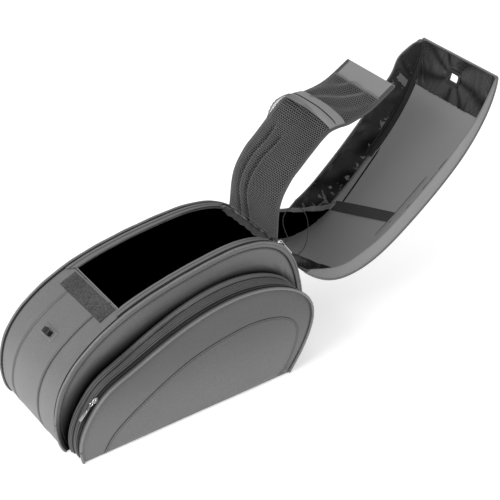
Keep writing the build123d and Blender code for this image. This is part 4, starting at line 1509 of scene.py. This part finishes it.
# ---- the inner flap ----
@dataclass
class InnerFlap:
    """Nylon flap with two net pockets, thrown back over the opening's rear edge."""

    materials: Materials
    repeat: RepeatTree
    line: tuple[tuple[float, float], ...] = (
        (216, 242), (223, 308), (245, 349), (272, 375), (295, 397), (313, 415), (330, 427), (351, 430), (380, 428),
        (425, 437), (481, 468))
    length: float = 384.0
    width: float = 140.0
    pitch: float = 93.0              # length of flap between two folds
    turn: float = 28.0               # length on either side of a fold that bends
    cell: float = 4.3                # width of the netting's holes
    strand: float = 0.95
    band: float = 37.0               # width of the end band
    bodies: tuple[str, ...] = ("bag", "flap_root", "flap_lower", "flap_upper", "flap_end")

    def __post_init__(self) -> None:
        """Works out the curve that the flap follows."""
        self.curve = Outline(through(self.line))

    def half(self, a: Number) -> Number:
        """Half the flap's width at arc length a."""
        return np.interp(a, [0, 60, 300, 380], [72, 70, 67, 66])

    def place(self, a: Number, y: Number, off: Number = 0.0) -> Array:
        """Point on the flap, whose near side droops where the cross zip weighs it down."""
        droop = 7.0 * smooth(-np.asarray(y) / 75) * np.exp(-((np.asarray(a) - 243) / 52) ** 2)
        return self.curve.place(a, y, off - droop)

    def link(self, index: int) -> tuple[str, str, Array, Array]:
        """Bodies and turning stretch of one of the flap's four folds."""
        first, last = self.pitch * index - self.turn, self.pitch * index + self.turn
        points = [self.place(max(a, 0.0), 0.0) for a in (first, last)]
        if index == 0:
            points[0] = points[0] + np.array([2.0, 0, -16.0])
        return self.bodies[index], self.bodies[index + 1], points[0], points[1]

    def spans(self, start: float, end: float) -> list[tuple[int, float, float]]:
        """Which fold each part of a stretch of the flap belongs to."""
        found = []
        for index in range(4):
            low = max(start, self.pitch * (index - 0.5)) if index else start
            high = min(end, self.pitch * (index + 0.5)) if index < 3 else end
            if high - low > 0.5:
                found.append((index, low, high))
        return found

    def panels(self) -> None:
        """The nylon panel and the binding round its edges, one piece for each fold."""
        for index, low, high in self.spans(0.0, self.length):
            name = self.bodies[index + 1]
            a = np.linspace(low, high, 34)
            y = self.half(a)[:, None] * np.linspace(-1, 1, 36)
            along = along_rows(a, y)
            off = 0.5 * waves(self.place(along, y), 40.0, 2.0)
            # Painted shade on the panel under the netting and the cross zip; its first 3 mm and the end under the
            # band are left unshaded.
            dark = np.where((along > 3) & (along < self.length - 40), 0.72, 0.0)
            panel = Shell(f"{name}_nylon").wall(*skin(self.place, a, y, off, 1.3), dark=dark).build()
            hand_over(panel, self.link(index), "nylon", self.materials.flap_nylon, f"flap_panel_{name[5:]}")
            bound = Shell(f"{name}_binding")
            for sign in (-1, 1):
                across = np.linspace(-6.5, 0.9, 7)
                y = sign * (self.half(a)[:, None] + across)
                along = along_rows(a, y)
                top = 1.0 + ridge(across, -2.6, 5.0, 1.3)
                bound.wall(self.place(along, y, top), self.place(along, y, -2.1))
            bound = bound.build()
            hand_over(bound, self.link(index), "nylon", self.materials.flap_nylon)
        seam_at = self.length - self.band
        a = np.linspace(seam_at, self.length + 0.6, 14)
        y = self.half(a)[:, None] * np.linspace(-1.01, 1.01, 30)
        along = along_rows(a, y)
        off = 1.4 + ridge(a, a[-1], 3.0, 1.0)[:, None] + 0.25 * waves(self.place(along, y), 25.0, 5)
        band = Shell("flap_end_band").wall(*skin(self.place, a, y, off, 3.2)).build()
        hand_over(band, self.link(3), "nylon", self.materials.board, "flap_hook_tape")
        y = np.linspace(-0.98, 0.98, 60) * self.half(seam_at)
        seam = Shell("flap_band_seam").tube(self.place(seam_at, y, 2.4), 0.7, 8)
        hand_over(seam.build(), self.link(3), "nylon", self.materials.piping)

    def net_lift(self, a: Array, y: Array) -> Array:
        """Height of the netting over the panel."""
        side = 1 - np.clip(np.abs(y) / self.half(a), 0, 1) ** 4
        wander = 6 * np.sin(a / 45)
        lower = 3.0 + 5.5 * smooth(a / 60)
        lower = lower - 5.0 * np.exp(-((y - 34 - wander) / 3.6) ** 2) * smooth((200 - a) / 40)
        lower = lower - 5.0 * np.exp(-((y - 8 - 1.3 * wander) / 3.4) ** 2) * smooth((190 - a) / 40)
        lower = lower + 7.0 * smooth((a - 150) / 60) * smooth((y + 20) / 60)
        slant = (a - 330) * 0.8 + (y - 6) * 0.9
        upper = 5.5 + 3.6 * np.sin(slant / 7.5) * np.exp(-((y - 10) / 45) ** 2) - 2.5 * smooth((a - 320) / 20)
        upper = upper + 1.2 * np.sin((y + a * 0.35) / 6.0)
        sag = 9.0 * np.exp(-((a - 212) / 22) ** 2) * smooth((y + 10) / 70)
        return 1.8 + side * np.where(a < 250, lower, upper) + sag

    def nets(self) -> None:
        """Two pockets of netting with open six-sided holes."""
        for label, start, end in (("lower", 3.0, 236.0), ("upper", 262.0, 348.0)):
            for index, low, high in self.spans(start, end):
                self.net(f"net_{label}_{self.bodies[index + 1][5:]}", index, low, high, start)

    def net(self, name: str, index: int, low: float, high: float, start: float) -> None:
        """One part of a net pocket, belonging to one fold.

        Args:
            name: the piece's name.
            index: the fold.
            low: where the part begins along the flap.
            high: where it ends.
            start: where the whole pocket begins, so that neighbouring parts share one lattice.
        """
        step = self.cell * math.sqrt(3) / 2
        first, last = math.ceil((low - start) / step), math.floor((high - start) / step - 1e-6)
        half = int(76 / self.cell)
        work, seen = bmesh.new(), {}
        corner = [(math.cos(t) * self.cell / math.sqrt(3), math.sin(t) * self.cell / math.sqrt(3))
                  for t in np.arange(6) * math.pi / 3 + math.pi / 6]
        for i in range(first, last + 1):
            a0 = start + i * step
            bulge = 7.0 * math.exp(-((a0 - 212) / 24) ** 2)
            for j in range(-half, half + 1):
                y0 = (j + 0.5 * (i % 2)) * self.cell
                if not -self.half(a0) + 5 < y0 < self.half(a0) - 4 + bulge:
                    continue
                ring = []
                for dy, da in corner:
                    key = (round((a0 + da) * 10), round((y0 + dy) * 10))
                    if key not in seen:
                        a, y = np.array(a0 + da), np.array(y0 + dy)
                        past = max(0.0, float(y) - float(self.half(a)) + 3)
                        place = self.place(a, y, self.net_lift(a, y) - 0.25 * past)
                        seen[key] = work.verts.new(place * MM)
                    ring.append(seen[key])
                work.faces.new(ring)
        mesh = bpy.data.meshes.new(name)
        work.to_mesh(mesh)
        work.free()
        piece = add_object(name, mesh)
        wires = piece.modifiers.new("strands", "WIREFRAME")
        wires.thickness, wires.use_even_offset, wires.use_boundary = self.strand * MM, False, True
        flatten(piece)
        shade(piece, 80)
        label = name.split("_")[-1]
        nodes = [f"flap_mesh_{label}"] if name.startswith("net_lower") or label == "end" else []
        hand_over(piece, self.link(index), "mesh", self.materials.net, *nodes)

    def cross_zip(self) -> None:
        """The zip across the flap: a bulging cover strip with two rows of coil."""
        a = np.sort(np.concatenate([np.linspace(231, 266, 30), [246, 247.5, 249, 254, 255.5, 257]]))
        t = np.linspace(-1, 1, 60)
        y = self.half(a)[:, None] * t * 0.985
        along = along_rows(a, y)
        bow = 5.0 * (1 - t**2)
        side = np.sqrt(np.maximum(1 - np.abs(t) ** 6, 0))
        off = 1.6 + side * (8.0 + 2.4 * ridge(a, 238, 8, 1.0)[:, None] + 1.6 * ridge(a, 252, 4, 1.0)[:, None]
                            + 2.2 * ridge(a, 261, 6, 1.0)[:, None] - 1.2)
        strip = Shell("flap_zip_strip").wall(self.place(along + bow * 0.4, y, off),
                                             self.place(along + bow * 0.4, y, off - 1.1)).build()
        hand_over(strip, self.link(3), "nylon", self.materials.board)
        lines = []
        for at in (247.2, 256.0):
            path = self.place(at + bow * 0.4, self.half(at) * t * 0.97, 1.6 + side * 7.4)
            lines.append((path, self.curve.up(np.full(60, at))))
        teeth = self.repeat.run("flap_zip_teeth", lines, Bead(1.9, 1.4, 2.4, 1.6), self.materials.tape)
        hand_over(teeth, self.link(3), "zip", self.materials.tape, "flap_cross_zip")

    def build(self) -> None:
        """Make the whole flap."""
        self.panels()
        self.nets()
        self.cross_zip()


# ---- fittings ----
@dataclass
class ZipSlider:
    """A cast zip slider with a bridge, and its long pull with an eye at the hinge and a slot at the tip."""

    name: str
    side: Side
    line: Outline
    s: float
    y: float
    turn: int
    tilt: float
    finish: bpy.types.Material
    lift: float = 3.0
    hinge: tuple[float, float] = (7.0, 2.4)
    length: float = 36.0

    def frame_at(self) -> tuple[Array, Array, Array]:
        """Origin, direction of the pull and upward direction, in space."""
        origin = self.line.place(self.s, self.side.value * self.y, self.lift)
        tangent = self.line.tangent(self.s) * self.turn
        return origin, np.array([tangent[0], 0, tangent[1]]), self.line.up(self.s)

    @staticmethod
    def plate(shell: Shell, outline: Array, low: float, high: float, bevel: float,
              place: Callable[[Array], Array]) -> None:
        """Add a plate with bevelled rims.

        Args:
            shell: takes the plate.
            outline: (n, 2) points round it.
            low: height of its underside.
            high: height of its top.
            bevel: width of its bevels.
            place: puts local points in space.
        """
        centre = outline.mean(0)
        size = np.linalg.norm(outline - centre, axis=1).mean()
        rings = [np.column_stack([centre + (outline - centre) * (1 - inset / size), np.full(len(outline), z)])
                 for inset, z in ((bevel, low), (0, low + bevel), (0, high - bevel), (bevel, high))]
        n = len(outline)
        points = place(np.vstack(rings))
        faces = [tuple(range(n))[::-1], tuple(range(3 * n, 4 * n))]
        faces += [(k * n + i, k * n + (i + 1) % n, (k + 1) * n + (i + 1) % n, (k + 1) * n + i)
                  for k in range(3) for i in range(n)]
        shell.solid(points, faces)

    def build(self) -> None:
        """Make the slider and its pull."""
        origin, along, up = self.frame_at()
        aside = np.cross(up, along)

        def seat(p: Array) -> Array:
            """Local point of the slider, in space."""
            return origin + p[:, :1] * along + p[:, 1:2] * aside + p[:, 2:] * up

        angle = np.linspace(0, 2 * math.pi, 32, endpoint=False)
        shield = np.stack([6.4 * np.cos(angle), 4.9 * np.sin(angle) * (1 - 0.22 * np.cos(angle))], -1)
        body = Shell(f"{self.name}_slider_cast")
        self.plate(body, shield, -0.6, 0.9, 0.4, seat)
        self.plate(body, shield, 1.7, 3.1, 0.5, seat)
        self.plate(body, shield * [0.35, 0.4], 0.6, 2.0, 0.1, seat)
        t = np.linspace(0, 1, 15)
        arch = np.stack([9.4 * t - 4.2, 0 * t, 2.6 + 2.6 * np.sin(math.pi * t)], -1)
        body.tube(seat(arch), 1.0, 10)
        hand_over(body.build(35), f"{self.name}_slider", "chrome", self.finish, f"{self.name}_slider")
        lean = math.radians(self.tilt)
        pull_along = along * math.cos(lean) - up * math.sin(lean)
        pull_up = up * math.cos(lean) + along * math.sin(lean)
        root = origin + along * self.hinge[0] + up * self.hinge[1]

        def hang(p: Array) -> Array:
            """Local point of the pull, in space."""
            return root + p[:, :1] * pull_along + p[:, 1:2] * aside + p[:, 2:] * pull_up

        pull = Shell(f"{self.name}_pull_cast")
        eye = np.linspace(0, 2 * math.pi, 25)
        pull.tube(hang(np.stack([1.5 + 4.3 * np.cos(eye), 2.6 * np.sin(eye), 0.4 + 0 * eye], -1)), 0.85, 8)
        flank = np.array([[5, 1.6], [9, 2.0], [13, 2.9], [self.length - 6, 3.1], [self.length - 2, 2.6],
                          [self.length, 1.3]])
        bar = np.concatenate([flank * [1, -1], flank[::-1]])
        self.plate(pull, bar, -0.8, 0.8, 0.35, hang)
        inner = np.stack([22 + 8.0 * np.cos(eye), 1.5 * np.sin(eye), 0.75 + 0 * eye], -1)
        pull.tube(hang(inner), 0.4, 6)
        hand_over(pull.build(35), f"{self.name}_pull", "chrome", self.finish, f"{self.name}_pull")


@dataclass
class PullCord:
    """Thin cord looped through the near main pull, knotted at its tip."""

    materials: Materials
    radius: float = 0.75
    length: float = 239.2
    route: tuple[tuple[float, float, float], ...] = (
        (231.7, -73.7, 227.4), (238.8, -73.9, 232.2), (238.5, -74.4, 242.0), (233.0, -75.0, 254.5),
        (228.0, -75.5, 268.0), (226.3, -76.0, 282.5), (230.5, -76.4, 294.0), (240.5, -76.7, 301.0),
        (253.0, -76.8, 300.5), (265.0, -76.8, 292.5), (274.5, -76.7, 279.5), (280.5, -76.5, 264.5),
        (283.0, -76.3, 248.5), (283.0, -76.0, 232.5), (281.5, -75.5, 217.5), (277.0, -74.9, 204.5),
        (269.5, -74.3, 196.0), (261.0, -73.9, 192.0), (253.7, -73.8, 194.0), (249.0, -73.7, 200.9))

    def build(self) -> None:
        """Make the cord as a curve, and its knot."""
        data = bpy.data.curves.new("pull_cord_line", "CURVE")
        data.dimensions = "3D"
        data.bevel_depth, data.bevel_resolution, data.resolution_u = self.radius * MM, 3, 10
        data.use_fill_caps = True
        spline = data.splines.new("NURBS")
        spline.points.add(len(self.route) - 1)
        for point, place in zip(spline.points, self.route):
            point.co = (*[v * MM for v in place], 1.0)
        spline.order_u, spline.use_endpoint_u = 3, True
        cord = add_object("pull_cord_line", data)
        data.materials.append(self.materials.cord)
        hand_over(cord, "main_near_pull", "cord", self.materials.cord, "pull_cord")
        tip = np.array(self.route[-1])
        t = np.linspace(0, 2 * math.pi, 40)
        turns = np.stack([1.3 * np.cos(2 * t), 1.5 * np.sin(3 * t), 1.3 * np.sin(2 * t)], -1)
        knot = Shell("pull_cord_knot").tube(tip + turns * 0.9, self.radius, 8).build()
        hand_over(knot, "main_near_pull", "cord", self.materials.cord)
        [v * MM for v in self.route[0]]


# ---- studio ----
@dataclass
class Studio:
    """Pale floor, pale surroundings and one wide key light."""

    eye: tuple[float, float, float] = (-1.0163, -1.748, 1.5902)
    aim: tuple[float, float, float] = (0.0639, -0.2078, 0.3507)
    lens: float = 101.0
    world: float = 0.72
    key: float = 42.0
    floor_glow: float = 0.4

    def camera(self) -> None:
        """Camera, high beside the bag's low end."""
        data = bpy.data.cameras.new("camera")
        data.lens, data.sensor_width, data.clip_end = self.lens, 36.0, 50.0
        camera = add_object("camera", data)
        camera.location = self.eye
        camera.rotation_euler = (Vector(self.aim) - Vector(self.eye)).to_track_quat("-Z", "Y").to_euler()
        bpy.context.scene.camera = camera

    def light(self, name: str, place: Sequence[float], size: float, power: float) -> None:
        """Add one area light turned to the object.

        Args:
            name: the light's name.
            place: where it stands, in metres.
            size: length of its sides.
            power: watts.
        """
        data = bpy.data.lights.new(name, "AREA")
        data.size, data.energy = size, power
        lamp = add_object(name, data)
        lamp.location = place
        lamp.rotation_euler = (Vector((0, 0, 0.2)) - Vector(place)).to_track_quat("-Z", "Y").to_euler()

    def build(self) -> None:
        """Make the camera, floor, lights and surroundings."""
        self.camera()
        mesh = bpy.data.meshes.new("floor")
        mesh.from_pydata([(-8, -8, 0), (8, -8, 0), (8, 8, 0), (-8, 8, 0)], [], [(0, 1, 2, 3)])
        floor = add_object("floor", mesh)
        paint = bpy.data.materials.new("floor_paper")
        paint.use_nodes = True
        shader = paint.node_tree.nodes["Principled BSDF"]
        shader.inputs["Base Color"].default_value = linear("#fbfbfb")
        shader.inputs["Roughness"].default_value = 0.9
        shader.inputs["Emission Color"].default_value = linear("#ffffff")
        shader.inputs["Emission Strength"].default_value = self.floor_glow
        mesh.materials.append(paint)
        self.light("key", (-2.3, -0.5, 2.0), 1.4, self.key)
        world = bpy.data.worlds.new("pale_room")
        world.use_nodes = True
        sky = world.node_tree.nodes["Background"].inputs
        sky["Color"].default_value, sky["Strength"].default_value = linear("#ffffff"), self.world
        scene = bpy.context.scene
        scene.world = world
        scene.view_settings.view_transform = "Standard"


def main() -> None:
    """Build every sub-assembly and the studio round it."""
    logging.basicConfig(level=logging.INFO)
    materials, repeat = Materials(), RepeatTree()
    Studio().build()
    PullCord(materials).build()
    BagBody(materials, repeat).build()
    for side in Side:
        SidePocket(side, materials, repeat).build()
    Lid(materials, repeat).build()
    # The far gusset is painted black as painted shadow; the near one keeps the plain nylon.
    HingeGusset(Side.FAR, materials, materials.black_nylon, lid_from=510.0, lid_y=(79.0, 78.0),
                body_from=634.0, body_y=76.0, hem=10.0).build()
    HingeGusset(Side.NEAR, materials, materials.nylon, lid_from=618.0, lid_y=(60.0, 62.0),
                body_from=655.0, body_y=62.0, hem=0.0).build()
    InnerFlap(materials, repeat).build()
    beside = float(edge_at(MAIN_SLIDER_AT)) - 8.1
    for side in Side:
        ZipSlider(f"main_{side.word}", side, BODY, s=MAIN_SLIDER_AT, y=beside, turn=1, tilt=13.0,
                  finish=materials.chrome).build()
        ZipSlider(f"pocket_{side.word}", side, POCKET, s=POCKET_SLIDER_AT, y=SidePocket.split, turn=-1,
                  tilt=0.0, finish=materials.chrome).build()
    repaint("flap_zip_slider", materials.chrome)


if __name__ == "__main__":
    main()
